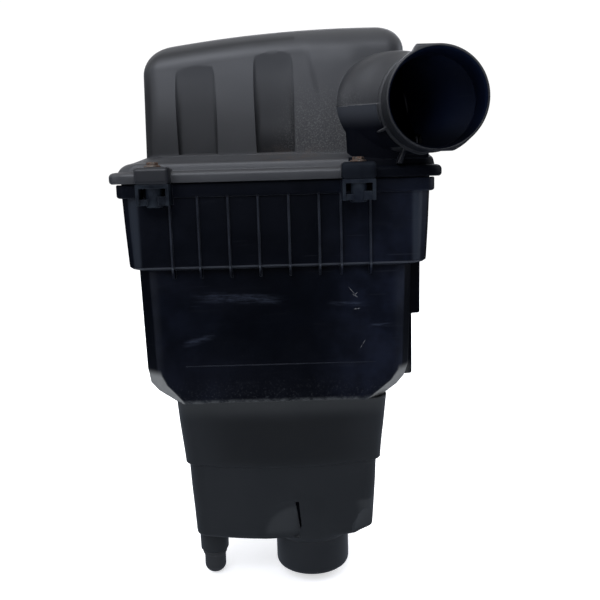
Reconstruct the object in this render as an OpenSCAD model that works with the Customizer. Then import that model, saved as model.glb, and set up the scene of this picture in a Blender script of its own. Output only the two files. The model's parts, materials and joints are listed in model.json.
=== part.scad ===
// Air filter housing with a flanged lid, an outlet spigot facing forwards, a ribbed housing,
// a lower intake chamber with a spigot facing down, a panel filter element and its fasteners.
// Design datum: x across, y from the front of the lid flange to the back, z = 0 at the parting
// plane. Everything is then moved so that the origin is on the locating peg's axis, midway along the
// straight part of its rubber cap.

/* [Lid] */
// Thickness of the moulded walls
wall = 3.0; // [2.6:0.1:3.2]
// Height of the dome's roof above the parting plane
roof_z = 118.5; // [114:0.5:124]
// Radius of the dome's upper edge
dome_r = 20; // [14:1:22]

/* [Outlet] */
// Inside radius of the outlet spigot
out_ri = 34.3; // [33.5:0.1:34.5]
// Outside radius of the outlet spigot where the hose seats
out_ro = 37.6; // [37.2:0.1:38]
// Distance of the mouth in front of the lid flange
out_front = 34; // [30:1:38]

/* [Housing] */
// Depth of the ribbed section below the parting plane
rib_z = 67; // [64:1:70]
// Height of the joint between the housing and the lower chamber, below the parting plane
mid_z = 182; // [178:1:186]

/* [Lower chamber] */
// Underside of the lower chamber, below the parting plane
low_z = 303; // [298:1:308]
// Outside radius of the intake spigot
in_ro = 32.4; // [31.5:0.1:33]
// Inside radius of the intake spigot
in_ri = 29.4; // [28.5:0.1:30]
// Radius of the locating peg's rubber cap
peg_r = 9.5; // [9:0.1:10]

/* [Filter] */
// Depth of the paper pleats
pleat_h = 50; // [40:1:52]
// Distance from one pleat to the next
pleat_pitch = 7.0; // [6:0.5:9]

/* [Screws] */
// Radius of the screws' shanks
shank_r = 2.92; // [2.9:0.01:2.95]

/* [Hidden] */
$fn = 64;

dark = [0.21, 0.22, 0.24];
navy = [0.08, 0.09, 0.13];
grey = [0.15, 0.16, 0.18];

// box of the lid flange
fx0 = -129; fx1 = 133; fy0 = 0; fy1 = 190;
cx = 2;            // middle of the housing
peg_x = -65; peg_y = 50; peg_z = -329;
in_x = 24; in_y = 50; in_z = -340;
out_x = 121; out_z = 55;
col_back = -2;     // where the outlet's straight part ends
neck_x = 90;       // middle of the neck where it meets the lid's front wall
screw_xy = [[-91, -3], [66, -3], [-91, 193], [66, 193]];
bush_x = [-40, 24]; bush_y = 205; bush_z = -44;
hole_r = 3.0;      // inside radius of the inserts
ins_r = 4.4;       // outside radius of the inserts

// ---- helpers ----
// points of one rounded rectangle ring, counter-clockwise from above; the front side can bow out
// and its two front corners can have radii of their own
function ring(x0, x1, y0, y1, r, z, bow = 0, fl = 0, fr = 0, n = 6, m = 6) = let (l = fl > 0 ? fl : r, q = fr > 0 ? fr : r) concat(
    [for (i = [0:n]) let (a = 180 + 90 * i / n) [x0 + l + l * cos(a), y0 + l + l * sin(a), z]],
    [for (i = [1:m - 1]) let (t = i / m) [x0 + l + (x1 - x0 - l - q) * t, y0 - bow * 4 * t * (1 - t), z]],
    [for (i = [0:n]) let (a = 270 + 90 * i / n) [x1 - q + q * cos(a), y0 + q + q * sin(a), z]],
    [for (i = [0:n]) let (a = 90 * i / n) [x1 - r + r * cos(a), y1 - r + r * sin(a), z]],
    [for (i = [0:n]) let (a = 90 + 90 * i / n) [x0 + r + r * cos(a), y1 - r + r * sin(a), z]]);
// height of the roof, which rises from the left and is level at the right
function roof(x) = x < 70 ? roof_z - 0.00049 * pow(70 - x, 2) : roof_z;
// the same ring, with each point dropped from the roof
function roof_ring(x0, x1, y0, y1, r, drop) =
    [for (p = ring(x0, x1, y0, y1, r, 0)) [p[0], p[1], roof(p[0]) - drop]];
// closed solid through a list of rings with equal numbers of points
module loft(rings) {
    n = len(rings[0]);
    k = len(rings);
    polyhedron(
        points = [for (r = rings) for (p = r) p],
        faces = concat(
            [[for (i = [n - 1:-1:0]) n - 1 - i]],
            [for (j = [0:k - 2]) for (i = [0:n - 1]) [j * n + i, (j + 1) * n + i, j * n + (i + 1) % n]],
            [for (j = [0:k - 2]) for (i = [0:n - 1]) [j * n + (i + 1) % n, (j + 1) * n + i, (j + 1) * n + (i + 1) % n]],
            [[for (i = [n - 1:-1:0]) (k - 1) * n + i]]),
        convexity = 6);
}
function circ(x, y, z, r, n = 40) = [for (i = [0:n - 1]) [x + r * cos(360 * i / n), y, z + r * sin(360 * i / n)]];
module at_peg() { translate([-peg_x, -peg_y, 9 - peg_z]) children(); }
module rbox(x0, x1, y0, y1, z0, z1, r) {
    translate([0, 0, z0]) linear_extrude(z1 - z0) rsquare(x0, x1, y0, y1, r);
}
module rsquare(x0, x1, y0, y1, r) {
    union() {
        translate([x0 + r, y0]) square([x1 - x0 - 2 * r, y1 - y0]);
        translate([x0, y0 + r]) square([x1 - x0, y1 - y0 - 2 * r]);
        for (x = [x0 + r, x1 - r]) for (y = [y0 + r, y1 - r]) translate([x, y]) circle(r);
    }
}

// ---- lid ----
// outside (t = 0) or inside (t = wall) of the dome
module dome(t) {
    x0 = -101.5 + t; x1 = 124 - t; y0 = 16 + t; y1 = 172 - t;
    zb = t > 0 ? 2 : 18;
    R = dome_r - t * 0.6;
    loft(concat(
        [ring(x0, x1, y0, y1, 14 - t, zb)],
        [for (s = [0:4]) let (a = 90 * s / 4, q = R * (1 - cos(a)), u = R * (1 - sin(a)))
            roof_ring(x0 + 0.5 + q, x1 - 18 - q, y0 + 7 + q, y1 - 5 - q, max(14 - t - q * 0.3, 6), u + t)]));
}
module flange_outer() {
    loft([ring(fx0, fx1, fy0, fy1, 15, 0), ring(fx0, fx1, fy0, fy1, 15, 7.7),
        ring(fx0 + 3, fx1 - 3, fy0 + 2.5, fy1 - 2.5, 13, 9.2), ring(fx0 + 9, fx1 - 5, fy0 + 6, fy1 - 6, 13, 9.8),
        ring(fx0 + 10, fx1 - 6, fy0 + 7, fy1 - 7, 13, 13.8), ring(fx0 + 16, fx1 - 7.5, fy0 + 11, fy1 - 11, 13, 16.2),
        ring(fx0 + 23.5, fx1 - 8.5, fy0 + 15.5, fy1 - 17.5, 13, 20)]);
}
// circles standing across Y; their middle moves from the spigot's axis to the lid's front wall
module neck(t, y0) {
    loft([circ(80, 48, out_z - 1, 35 - t), circ(84, 36, out_z, 38 - t), circ(neck_x, 20, out_z, 39.4 - t),
        circ(99, 11, out_z, 39 - t), circ(112, 3, out_z, 38 - t), circ(out_x, y0, out_z, 36.6 - t)]);
}
module lid_lug(x, y) {
    s = y < 90 ? 1 : -1;
    difference() {
        translate([x - 13, min(y - 9 * s, y + 14 * s), 0]) cube([26, 23, 12.4]);
        translate([x, y, -1]) cylinder(r = 3.6, h = 20);
    }
}
module lid_cover() color(dark) at_peg() difference() {
    union() {
        difference() {
            union() { flange_outer(); dome(0); neck(0, col_back + 0.5);
                translate([64, 9, 14]) cube([56, 13, 22]);
                for (p = screw_xy) lid_lug(p[0], p[1]); }
            dome(wall);
            // hollow underside of the flange
            loft([ring(fx0 + wall, fx1 - wall, fy0 + wall, fy1 - wall, 12, -1), ring(fx0 + wall, fx1 - wall, fy0 + wall, fy1 - wall, 12, 5.2),
                ring(fx0 + 13, fx1 - 9, fy0 + 10, fy1 - 10, 10, 7.5), ring(fx0 + 13, fx1 - 9, fy0 + 10, fy1 - 10, 10, 10.8),
                ring(fx0 + 26, fx1 - 12, fy0 + 18.5, fy1 - 20, 10, 16)]);
            translate([67, 12, 8]) cube([50, 16, 25]);
        }
        // rib round the opening that presses on the filter seal
        difference() {
            rbox(-118, 124, 12, 178, 5.2, 13, 10);
            rbox(-115, 121, 15, 175, 0, 20, 8);
        }
        // outlet spigot and the ring that the hose stops against
        translate([out_x, col_back, out_z]) rotate([90, 0, 0]) {
            cylinder(r = out_ro, h = out_front + col_back);
            cylinder(r = out_ro + 2.2, h = 4);
        }
        // strut between the spigot and the flange
        translate([101, -5.5, 11]) cube([2.4, 14, 12]);
    }
    neck(3, col_back - 0.5);
    translate([out_x, col_back + 1, out_z]) rotate([90, 0, 0]) cylinder(r = out_ri, h = out_front + 4);
    // screw holes through the lugs
    for (p = screw_xy) translate([p[0], p[1], -1]) cylinder(r = 3.6, h = 30);
    // room for the screw heads
    for (p = screw_xy) translate([p[0], p[1], 12.4]) cylinder(r = 7.5, h = 9);
    // two sunk panels in the front wall
    for (x = [-74.2, -13]) translate([x, 12, 22]) rotate([-4.8, 0, 0]) cube([31.6, 6.2, 70]);
}

// ---- housing ----
module housing_outer() {
    // lip and rim band, ribbed section, ledge, middle section with its chamfered lower corners
    loft([
        ring(-90, 91.5, 17, 157, 12, -mid_z, fl = 15, fr = 22), ring(-99, 101, 17, 161, 12, -mid_z + 8, fl = 16, fr = 24),
        ring(-110.5, 108.5, 17, 168, 12, -160), ring(-112.5, 110, 17, 171, 12, -113),
        ring(-113.5, 111, 17, 172, 12, -70), ring(-119, 122, 8, 180, 11, -rib_z), ring(-122.5, 125.5, 8, 182, 11, -9)]);
    rbox(-124, 127.5, 4.5, 185.5, -10.3, -0.3, 12);
}
module housing_inner() {
    loft([
        ring(-86.5, 88, 20.3, 153, 9, -mid_z - 1, fl = 13, fr = 20), ring(-95.5, 97.5, 20.2, 157.5, 9, -mid_z + 9, fl = 14, fr = 22),
        ring(-107.2, 105.2, 20, 165, 9, -158), ring(-109.5, 107, 20, 168, 9, -113),
        ring(-110.5, 108, 20, 169, 9, -66), ring(-116, 119, 11, 177, 8, -64), ring(-119.3, 122.3, 11, 179, 8, -10.3)]);
    rbox(-113, 116, 14, 174, -12, 1, 9);
}
module housing_lug(p) {
    s = p[1] < 90 ? 1 : -1;
    ya = min(p[1] - 8 * s, p[1] + 13 * s);
    translate([p[0] - 12.5, ya, -17.5]) cube([2.5, 21, 17.2]);
    translate([p[0] + 10, ya, -17.5]) cube([2.5, 21, 17.2]);
    translate([p[0] - 12.5, ya, -3.2]) cube([25, 21, 2.9]);
    translate([p[0], p[1], -19]) cylinder(r = 6, h = 18);
    translate([p[0] - 1.2, min(p[1], p[1] + 12 * s), -19]) cube([2.4, 12, 17]);
}
rib_x = [-81.5, -59.6, -35.8, -12.2, 11.8, 35.6, 52.8, 76];
module mount_tab(x) {
    difference() {
        union() {
            translate([x, bush_y, bush_z - 3]) cylinder(r = 15, h = 6);
            translate([x - 15, 178, bush_z - 3]) cube([30, 27, 6]);
            for (d = [-15, 12]) translate([x + d, 178, bush_z - 22]) cube([3, 12, 20]);
        }
        translate([x, bush_y, bush_z - 5]) cylinder(r = 9, h = 10);
    }
}
module main_housing() color(navy) at_peg() difference() {
    union() {
        difference() {
            housing_outer();
            housing_inner();
        }
        for (x = rib_x) translate([x - 0.9, 5, -76]) cube([1.8, 12.2, 67]);
        for (x = rib_x) translate([x - 0.9, 172, -rib_z]) cube([1.8, 11, 58]);
        for (p = screw_xy) housing_lug(p);
        for (x = bush_x) mount_tab(x);
        // pad on the right flank
        rbox(104, 117, 34, 120, -112, -69, 4);
    }
    housing_inner();
    // seal channel in the rim
    rbox(-121, 124.5, 7.5, 182.5, -7, 1, 10);
    for (p = screw_xy) translate([p[0], p[1], -16.1]) cylinder(r = ins_r, h = 20);
    for (p = screw_xy) translate([p[0], p[1], -22]) cylinder(r = 3.2, h = 20);
}

// ---- lower chamber ----
module lower_outer() {
    loft([
        ring(-77.5, 77, 24, 138, 12, -low_z, 7), ring(-81.8, 81.5, 27, 143, 12, -242, 10),
        ring(-84.5, 84.8, 26, 146, 12, -239.5, 10), ring(-87, 87.5, 20, 150, 12, -205, 4),
        ring(-88.5, 90, 17.4, 155, 12, -mid_z, fl = 15, fr = 21)]);
}
module lower_inner() {
    loft([
        ring(-74, 73.5, 27, 135, 9, -low_z + 3, 7), ring(-78.5, 78.2, 30, 140, 9, -242, 10),
        ring(-81.2, 81.5, 29, 143, 9, -239, 10), ring(-84, 84.5, 23, 147, 9, -205, 4),
        ring(-85.5, 87, 20.5, 152, 9, -mid_z + 1, fl = 12, fr = 18)]);
}
module lower_chamber() color(grey) at_peg() difference() {
    union() {
        difference() { lower_outer(); lower_inner(); }
        // socket for the intake tube
        translate([in_x, in_y, -low_z]) cylinder(r = in_ro + 3.2, h = low_z - 264);
        translate([peg_x, peg_y, peg_z]) cylinder(r = 12.4, h = -peg_z - low_z + 3);
        // pin that carries the rubber cap
        translate([peg_x, peg_y, peg_z - 15]) cylinder(r = 6, h = 20);
    }
    translate([in_x, in_y, -low_z - 1]) cylinder(r = in_ro + 0.05, h = low_z - 250);
}
module intake_tube() color(grey) at_peg() translate([in_x, in_y, in_z]) difference() {
    union() {
        cylinder(r = in_ro, h = -in_z - 262);
        translate([0, 0, -in_z - low_z - 3]) cylinder(r = in_ro + 2.2, h = 3);
    }
    translate([0, 0, -1]) cylinder(r = in_ri, h = -in_z - 255);
}

// rubber cap on the locating pin: straight sides and a domed end
module peg_cap() color([0.13, 0.13, 0.14]) at_peg() translate([peg_x, peg_y, peg_z]) difference() {
    rotate_extrude() polygon(concat(
        [[0, -22], [0, 0], [peg_r + 1.4, 0], [peg_r + 1.4, -2.2], [peg_r, -4], [peg_r, -14]],
        [for (a = [10:10:80]) [peg_r * cos(a), -14 - 8 * sin(a)]]));
    translate([0, 0, -15.5]) cylinder(r = 6, h = 20);
}

// ---- filter element ----
px0 = -106; px1 = 108; py0 = 21; py1 = 167;
module filter_pleats() color([0.86, 0.80, 0.62]) at_peg() {
    n = floor((px1 - px0 - 4) / pleat_pitch);
    x0 = (px0 + px1) / 2 - n * pleat_pitch / 2;
    v = 9;
    // zigzag sheet seen from the front, carried through the element's depth
    top = [for (i = [0:2 * n]) [x0 + i * pleat_pitch / 2, i % 2 == 0 ? 0 : -pleat_h]];
    bot = [for (i = [0:2 * n]) [x0 + i * pleat_pitch / 2, (i % 2 == 0 ? 0 : -pleat_h) - v]];
    translate([0, py1, 3]) rotate([90, 0, 0]) linear_extrude(py1 - py0)
        polygon(concat(bot, [for (i = [2 * n:-1:0]) top[i]]));
}
module filter_seal() color([0.10, 0.10, 0.11]) at_peg() difference() {
    union() {
        rbox(-120.4, 124, 8, 182, -6.8, 4.9, 9.5);
        rbox(px0 - 4, px1 + 4, py0 - 4, py1 + 4, -14, -6, 4);
    }
    translate([px0, py0, -20]) cube([px1 - px0, py1 - py0, 40]);
}
module filter_glue_beads() color([0.92, 0.90, 0.80]) at_peg()
    for (y = [52, 94, 136]) translate([px0 + 4, y - 1.5, 3]) cube([px1 - px0 - 8, 3, 1.6]);

// ---- fasteners ----
module screw(p) color([0.55, 0.33, 0.2]) at_peg() translate([p[0], p[1], 12.4]) {
    difference() {
        union() {
            cylinder(r = 6.4, h = 1.4);
            cylinder(r = 4.62, h = 5.2, $fn = 6);
            translate([0, 0, -33.2]) cylinder(r = shank_r, h = 34);
        }
        translate([0, 0, 3.4]) cylinder(r = 2.2, h = 5);
    }
}
module insert(p) color([0.78, 0.62, 0.3]) at_peg() translate([p[0], p[1], -16]) difference() {
    cylinder(r = ins_r, h = 14);
    translate([0, 0, -1]) cylinder(r = hole_r, h = 20);
}
module bush(x) color([0.1, 0.1, 0.1]) at_peg() translate([x, bush_y, bush_z]) difference() {
    union() {
        translate([0, 0, 3]) cylinder(r = 12.5, h = 4);
        translate([0, 0, -7]) cylinder(r = 12.5, h = 4);
        translate([0, 0, -7]) cylinder(r = 9, h = 14);
    }
    translate([0, 0, -8]) cylinder(r = 6, h = 16);
}
module sleeve(x) color([0.7, 0.7, 0.72]) at_peg() translate([x, bush_y, bush_z]) difference() {
    translate([0, 0, -8]) cylinder(r = 6, h = 16);
    translate([0, 0, -9]) cylinder(r = 4.25, h = 18);
}

module lid_screw_front_left() screw(screw_xy[0]);
module lid_screw_front_right() screw(screw_xy[1]);
module lid_screw_rear_left() screw(screw_xy[2]);
module lid_screw_rear_right() screw(screw_xy[3]);
module insert_front_left() insert(screw_xy[0]);
module insert_front_right() insert(screw_xy[1]);
module insert_rear_left() insert(screw_xy[2]);
module insert_rear_right() insert(screw_xy[3]);
module mount_bush_left() bush(bush_x[0]);
module mount_bush_right() bush(bush_x[1]);
module mount_sleeve_left() sleeve(bush_x[0]);
module mount_sleeve_right() sleeve(bush_x[1]);

lid_cover();
main_housing();
lower_chamber();
intake_tube();
filter_pleats();
filter_seal();
filter_glue_beads();
lid_screw_front_left();
lid_screw_front_right();
lid_screw_rear_left();
lid_screw_rear_right();
insert_front_left();
insert_front_right();
insert_rear_left();
insert_rear_right();
peg_cap();
mount_bush_left();
mount_bush_right();
mount_sleeve_left();
mount_sleeve_right();
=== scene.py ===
import bpy, math, json
import numpy as np
from mathutils import Matrix, Vector

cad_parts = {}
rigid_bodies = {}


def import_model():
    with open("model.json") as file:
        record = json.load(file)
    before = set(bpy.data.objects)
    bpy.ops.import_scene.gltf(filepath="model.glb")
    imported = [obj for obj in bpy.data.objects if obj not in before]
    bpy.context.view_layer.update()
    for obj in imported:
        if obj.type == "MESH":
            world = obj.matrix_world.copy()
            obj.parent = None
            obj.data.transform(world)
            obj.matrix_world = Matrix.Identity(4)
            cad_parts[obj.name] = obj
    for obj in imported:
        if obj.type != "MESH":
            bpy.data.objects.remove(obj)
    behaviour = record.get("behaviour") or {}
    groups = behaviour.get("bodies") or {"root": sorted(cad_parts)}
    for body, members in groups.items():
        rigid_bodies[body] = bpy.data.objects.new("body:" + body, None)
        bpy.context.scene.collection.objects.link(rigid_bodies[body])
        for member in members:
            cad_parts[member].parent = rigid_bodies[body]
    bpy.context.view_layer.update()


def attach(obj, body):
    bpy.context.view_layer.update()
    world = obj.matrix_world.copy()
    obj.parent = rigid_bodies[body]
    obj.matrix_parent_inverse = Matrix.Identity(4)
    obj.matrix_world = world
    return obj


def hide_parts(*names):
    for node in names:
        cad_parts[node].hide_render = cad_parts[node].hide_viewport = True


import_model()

# ---------------------------------------------------------------- frame
# All shapes below are written in design millimetres: x across, y from the front of the lid flange
# to the back, z = 0 at the parting plane.
OFF = np.array([65.0, -50.0, 338.0])


def row(p):
    return (np.asarray(p, float) + OFF) / 1000.0


PI = math.pi
FX0, FX1, FY0, FY1 = -129.0, 133.0, 0.0, 190.0
PEG = (-65.0, 50.0, -329.0)
INT = (24.0, 50.0, -340.0)
OUT = (121.0, 55.0)
SCREWS = {"front_left": (-91.0, -3.0), "front_right": (66.0, -3.0), "rear_left": (-91.0, 193.0), "rear_right": (66.0, 193.0)}
BUSH = {"left": -40.0, "right": 24.0}
BUSH_Y, BUSH_Z = 205.0, -44.0
RIB_X = [-81.5, -59.6, -35.8, -12.2, 11.8, 35.6, 52.8, 76.0]

# ---------------------------------------------------------------- mesh helpers
WORK = bpy.data.collections.new("work")
bpy.context.scene.collection.children.link(WORK)


def smooth(t):
    t = np.clip(t, 0.0, 1.0)
    return t * t * (3 - 2 * t)


def make(name, verts, faces, coll=None):
    me = bpy.data.meshes.new(name)
    v = row(verts)
    me.from_pydata([tuple(p) for p in v], [], faces)
    me.update()
    ob = bpy.data.objects.new(name, me)
    (coll or WORK).objects.link(ob)
    return ob


def loft(rings, caps=(True, True), closed=False):
    """verts and faces of a solid through rings of equal length, first ring lowest, all of them
    counter-clockwise seen from the far end"""
    n = len(rings[0])
    k = len(rings)
    v = np.vstack(rings)
    f = []
    for j in range(k if closed else k - 1):
        a, b = j * n, ((j + 1) % k) * n
        for i in range(n):
            q = (i + 1) % n
            f.append((a + i, a + q, b + q, b + i))
    if not closed:
        if caps[0]:
            f.append(tuple(range(n - 1, -1, -1)))
        if caps[1]:
            f.append(tuple(range((k - 1) * n, k * n)))
    return v, f


def poly(V, z, n=6, m=None, bow=None):
    """ring through a polygon whose corners (x, y, radius) are rounded; m is the number of pieces on
    the edge that leaves each corner; bow pushes the first edge's middle towards the front"""
    V = [tuple(map(float, p)) for p in V]
    k = len(V)
    m = m or [4] * k
    T = []
    for i in range(k):
        p = np.array(V[i][:2])
        a = np.array(V[i - 1][:2]) - p
        b = np.array(V[(i + 1) % k][:2]) - p
        a /= np.linalg.norm(a)
        b /= np.linalg.norm(b)
        r = V[i][2]
        half = math.acos(max(-1, min(1, float(a @ b)))) / 2
        t = r / math.tan(half)
        bis = (a + b) / max(np.linalg.norm(a + b), 1e-9)
        c = p + bis * r / math.sin(half)
        p1, p2 = p + a * t, p + b * t
        a1 = math.atan2(*(p1 - c)[::-1])
        a2 = math.atan2(*(p2 - c)[::-1])
        while a2 < a1:
            a2 += 2 * PI
        if a2 - a1 > PI:
            a2 -= 2 * PI
        arc = [c + r * np.array([math.cos(a1 + (a2 - a1) * s / n), math.sin(a1 + (a2 - a1) * s / n)]) for s in range(n + 1)]
        T.append(arc)
    out = []
    for i in range(k):
        out += T[i]
        s, e = T[i][-1], T[(i + 1) % k][0]
        for j in range(1, m[i]):
            t = j / m[i]
            q = s + (e - s) * t
            if bow and i == bow[0]:
                q = q + np.array([0, -bow[1] * 4 * t * (1 - t)])
            out.append(q)
    out = np.array(out)
    r = np.zeros((len(out), 3))
    r[:, :2] = out
    r[:, 2] = z(out[:, 0], out[:, 1]) if callable(z) else z
    return r


def rect(x0, x1, y0, y1, r, z, n=8, mx=12, my=8, bow=0, fl=None, fr=None):
    """rounded rectangle, starting at the front left corner"""
    V = [(x0, y0, fl or r), (x1, y0, fr or r), (x1, y1, r), (x0, y1, r)]
    return poly(V, z, n, [mx, my, mx, my], (0, bow) if bow else None)


def fillet(P, rad, seg=5, guard=0.35):
    """rounds the corners of a chain of control rows; rad is one radius per row, in the units of the
    rows; each rounding is followed by a near row that keeps the flats flat"""
    P = [np.array(p, float) for p in P]
    out = [P[0]]
    for i in range(1, len(P) - 1):
        r = rad[i] if hasattr(rad, "__len__") else rad
        a, b = P[i - 1] - P[i], P[i + 1] - P[i]
        la, lb = np.linalg.norm(a), np.linalg.norm(b)
        if r <= 0:
            out.append(P[i])
            continue
        ta, tb = min(r / la, 0.46), min(r / lb, 0.46)
        g = guard
        if ta * la + g < 0.49 * la:
            out.append(P[i] + a * (ta + g / la))
        A, B = P[i] + a * ta, P[i] + b * tb
        for s in range(seg + 1):
            t = s / seg
            out.append(A * (1 - t) ** 2 + P[i] * 2 * t * (1 - t) + B * t * t)
        if tb * lb + g < 0.49 * lb:
            out.append(P[i] + b * (tb + g / lb))
    out.append(P[-1])
    return out


def lathe(profile, c, axis="z", n=64, rfun=None, caps=(True, True), closed=False, phase=0.0):
    """solid of revolution; the profile's rows are (radius, height along the axis)"""
    rings = []
    for r, h in profile:
        a = np.arange(n) * 2 * PI / n + phase
        rr = np.full(n, float(r)) if rfun is None else rfun(a, r, h)
        if axis == "z":
            rings.append(np.stack([c[0] + rr * np.cos(a), c[1] + rr * np.sin(a), np.full(n, c[2] + h)], 1))
        else:  # towards -y
            rings.append(np.stack([c[0] + rr * np.cos(a), np.full(n, c[1] - h), c[2] + rr * np.sin(a)], 1))
    return loft(rings, caps, closed)


def box(name, x0, x1, y0, y1, z0, z1, bev=0.6, seg=3):
    """block with rounded edges"""
    import bmesh
    ob = make(name, [(x, y, z) for z in (z0, z1) for y in (y0, y1) for x in (x0, x1)],
              [(0, 2, 3, 1), (4, 5, 7, 6), (0, 1, 5, 4), (2, 6, 7, 3), (0, 4, 6, 2), (1, 3, 7, 5)])
    if bev:
        bm = bmesh.new()
        bm.from_mesh(ob.data)
        bmesh.ops.bevel(bm, geom=bm.edges[:], offset=bev / 1000, segments=seg, profile=0.5, affect="EDGES", clamp_overlap=True)
        bm.to_mesh(ob.data)
        bm.free()
    return ob


def prism(name, pts, axis, a, b, bev=0.0, seg=2):
    """polygon carried along an axis; pts are (y, z) for x, (x, z) for y, (x, y) for z"""
    import bmesh
    def P(p, t):
        return (t, p[0], p[1]) if axis == "x" else (p[0], t, p[1]) if axis == "y" else (p[0], p[1], t)
    n = len(pts)
    v = [P(p, a) for p in pts] + [P(p, b) for p in pts]
    f = [tuple(range(n - 1, -1, -1)), tuple(range(n, 2 * n))] + [(i, (i + 1) % n, n + (i + 1) % n, n + i) for i in range(n)]
    ob = make(name, v, f)
    bm = bmesh.new()
    bm.from_mesh(ob.data)
    bmesh.ops.recalc_face_normals(bm, faces=bm.faces[:])
    if bev:
        bmesh.ops.bevel(bm, geom=bm.edges[:], offset=bev / 1000, segments=seg, profile=0.5, affect="EDGES", clamp_overlap=True)
    bm.to_mesh(ob.data)
    bm.free()
    return ob


def outward(ob):
    import bmesh
    bm = bmesh.new()
    bm.from_mesh(ob.data)
    if bm.calc_volume(signed=True) < 0:
        bmesh.ops.reverse_faces(bm, faces=bm.faces[:])
    bm.to_mesh(ob.data)
    bm.free()
    return ob


def solid(name, vf):
    return outward(make(name, vf[0], vf[1]))


def combine(base, steps):
    """adds and cuts solids in order; steps are ('+' or '-', object)"""
    for sign, ob in steps:
        outward(ob)
        m = base.modifiers.new("b", "BOOLEAN")
        m.object = ob
        m.operation = "UNION" if sign == "+" else "DIFFERENCE"
        m.solver = "MANIFOLD"
        before = len(base.data.vertices)
        dg = bpy.context.evaluated_depsgraph_get()
        me = bpy.data.meshes.new_from_object(base.evaluated_get(dg), depsgraph=dg)
        if len(me.vertices) < 4:
            m.solver = "EXACT"
            dg = bpy.context.evaluated_depsgraph_get()
            me = bpy.data.meshes.new_from_object(base.evaluated_get(dg), depsgraph=dg)
            print("exact", base.name, ob.name, before, len(me.vertices))
        base.modifiers.clear()
        base.data = me
    return base


def finish_piece(ob, name, mat, body, nodes, angle=34.0, weld=True, dark=None):
    import bmesh
    me = ob.data.copy()
    bm = bmesh.new()
    bm.from_mesh(me)
    if weld:
        bmesh.ops.remove_doubles(bm, verts=bm.verts[:], dist=4e-6)
        bmesh.ops.dissolve_degenerate(bm, edges=bm.edges[:], dist=3e-6)
    bm.to_mesh(me)
    bm.free()
    me.name = name
    new = bpy.data.objects.new(name, me)
    bpy.context.scene.collection.objects.link(new)
    me.polygons.foreach_set("use_smooth", [True] * len(me.polygons))
    me.set_sharp_from_angle(angle=math.radians(angle))
    me.materials.clear()
    me.materials.append(mat)
    if dark:
        for m, _ in dark:
            me.materials.append(m)
        for p in me.polygons:
            c = p.center * 1000.0
            for k, (_, test) in enumerate(dark):
                if test(c.x - OFF[0], c.y - OFF[1], c.z - OFF[2], p.normal):
                    p.material_index = k + 1
                    break
    w = new.modifiers.new("normals", "WEIGHTED_NORMAL")
    w.keep_sharp = True
    w.weight = 50
    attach(new, body)
    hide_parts(*nodes)
    return new

# ---------------------------------------------------------------- lid
def roof(x):
    x = np.asarray(x, float)
    return np.where(x < 70, 118.5 - 0.00049 * (70 - x) ** 2, 118.5)


def flange_rows():
    # insets left, right, front, rear, corner radius, height
    P = [(1.8, 1.8, 0.9, 0.9, 15, 0.25), (0.5, 0.5, 0.1, 0.1, 15, 1.1), (0, 0, 0, 0, 15, 2.6), (0, 0, 0, 0, 15, 5.6), (0.35, 0.3, 0.25, 0.25, 14.8, 7.0), (1.3, 1.1, 0.9, 0.9, 14.5, 8.2), (2.9, 2.4, 2.2, 2.2, 14, 9.0), (4.4, 3.8, 3.6, 3.6, 13.5, 9.3),
         (6.4, 5, 5.4, 5.4, 13, 9.2), (8.6, 5.6, 5.9, 6.0, 13, 12.4), (12.6, 6.4, 6.5, 6.8, 13, 15.1), (18.5, 7.9, 10.8, 11.2, 13, 16.7),
         (27.2, 8.7, 16.1, 17.6, 13, 20.3)]
    return fillet(P, [0, 0, 0, 0, 0, 0, 0, 0.4, 0.9, 1.6, 3.2, 3.0, 0], seg=6, guard=0.3)


def dome_front(x, z):
    """how far the front wall stands back at a height, with its soft slanted step"""
    t = np.clip((z - 20) / 78.0, 0, 1)
    y = 16.1 + 6.6 * t
    line = np.interp(z, [20, 65, 96, 110], [38.5, 34.5, 27.5, 25])
    fade = smooth((112 - z) / 22.0)
    y = y - 1.1 * smooth((x - line) / 5.0) * fade * smooth((80 - x) / 18.0)
    return y


def dome_solid(t, name):
    x0, x1, y0, y1 = -101.5 + t, 124.0 - t, 16.1 + t, 172.0 - t
    R = 20.0 - 0.6 * t
    rings = []
    mx = 96 if t == 0 else 30
    zs = np.linspace(17.0 if t == 0 else 1.0, 1, 1).tolist()
    z_lo = 17.0 if t == 0 else 1.0
    nlev = 30 if t == 0 else 8
    top_z = None
    for s in range(nlev + 1):
        u = s / nlev
        def zf(x, y, u=u):
            top = roof(x) - t - R
            return z_lo + (top - z_lo) * u
        rings.append(rect(x0 + 0.6 * u, x1 - 18 * u, y0 + 6.6 * u, y1 - 5 * u, 15 - t - 2 * u, zf, 8, mx, 22))
    seg = 12 if t == 0 else 6
    for s in range(1, seg + 1):
        a = PI / 2 * s / seg
        q, d = R * (1 - math.cos(a)), R * (1 - math.sin(a))
        def zf(x, y, d=d):
            return roof(x) - t - d
        rings.append(rect(x0 + 0.6 + q, x1 - 18 - q, y0 + 6.6 + q, y1 - 5 - q, max(13 - t - 0.3 * q, 6), zf, 8, mx, 22))
    for q in (R + 4, R + 12, R + 22, R + 34, R + 46, R + 56):
        def zf(x, y, q=q):
            return roof(x) - t
        w = (y1 - 5 - q) - (y0 + 6.6 + q)
        if w < 6:
            break
        rings.append(rect(x0 + 0.6 + q, x1 - 18 - q, y0 + 6.6 + q, y1 - 5 - q, min(6, w / 2.3), zf, 8, mx, 22))
    if t == 0:
        for r in rings:
            x, y, z = r[:, 0], r[:, 1], r[:, 2]
            base = 16.1 + 6.6 * np.clip((z - 20) / 78.0, 0, 1)
            w = smooth((60 - y) / 30.0)
            r[:, 1] = y + (dome_front(x, z) - base) * w
    return solid(name, loft(rings))


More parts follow.
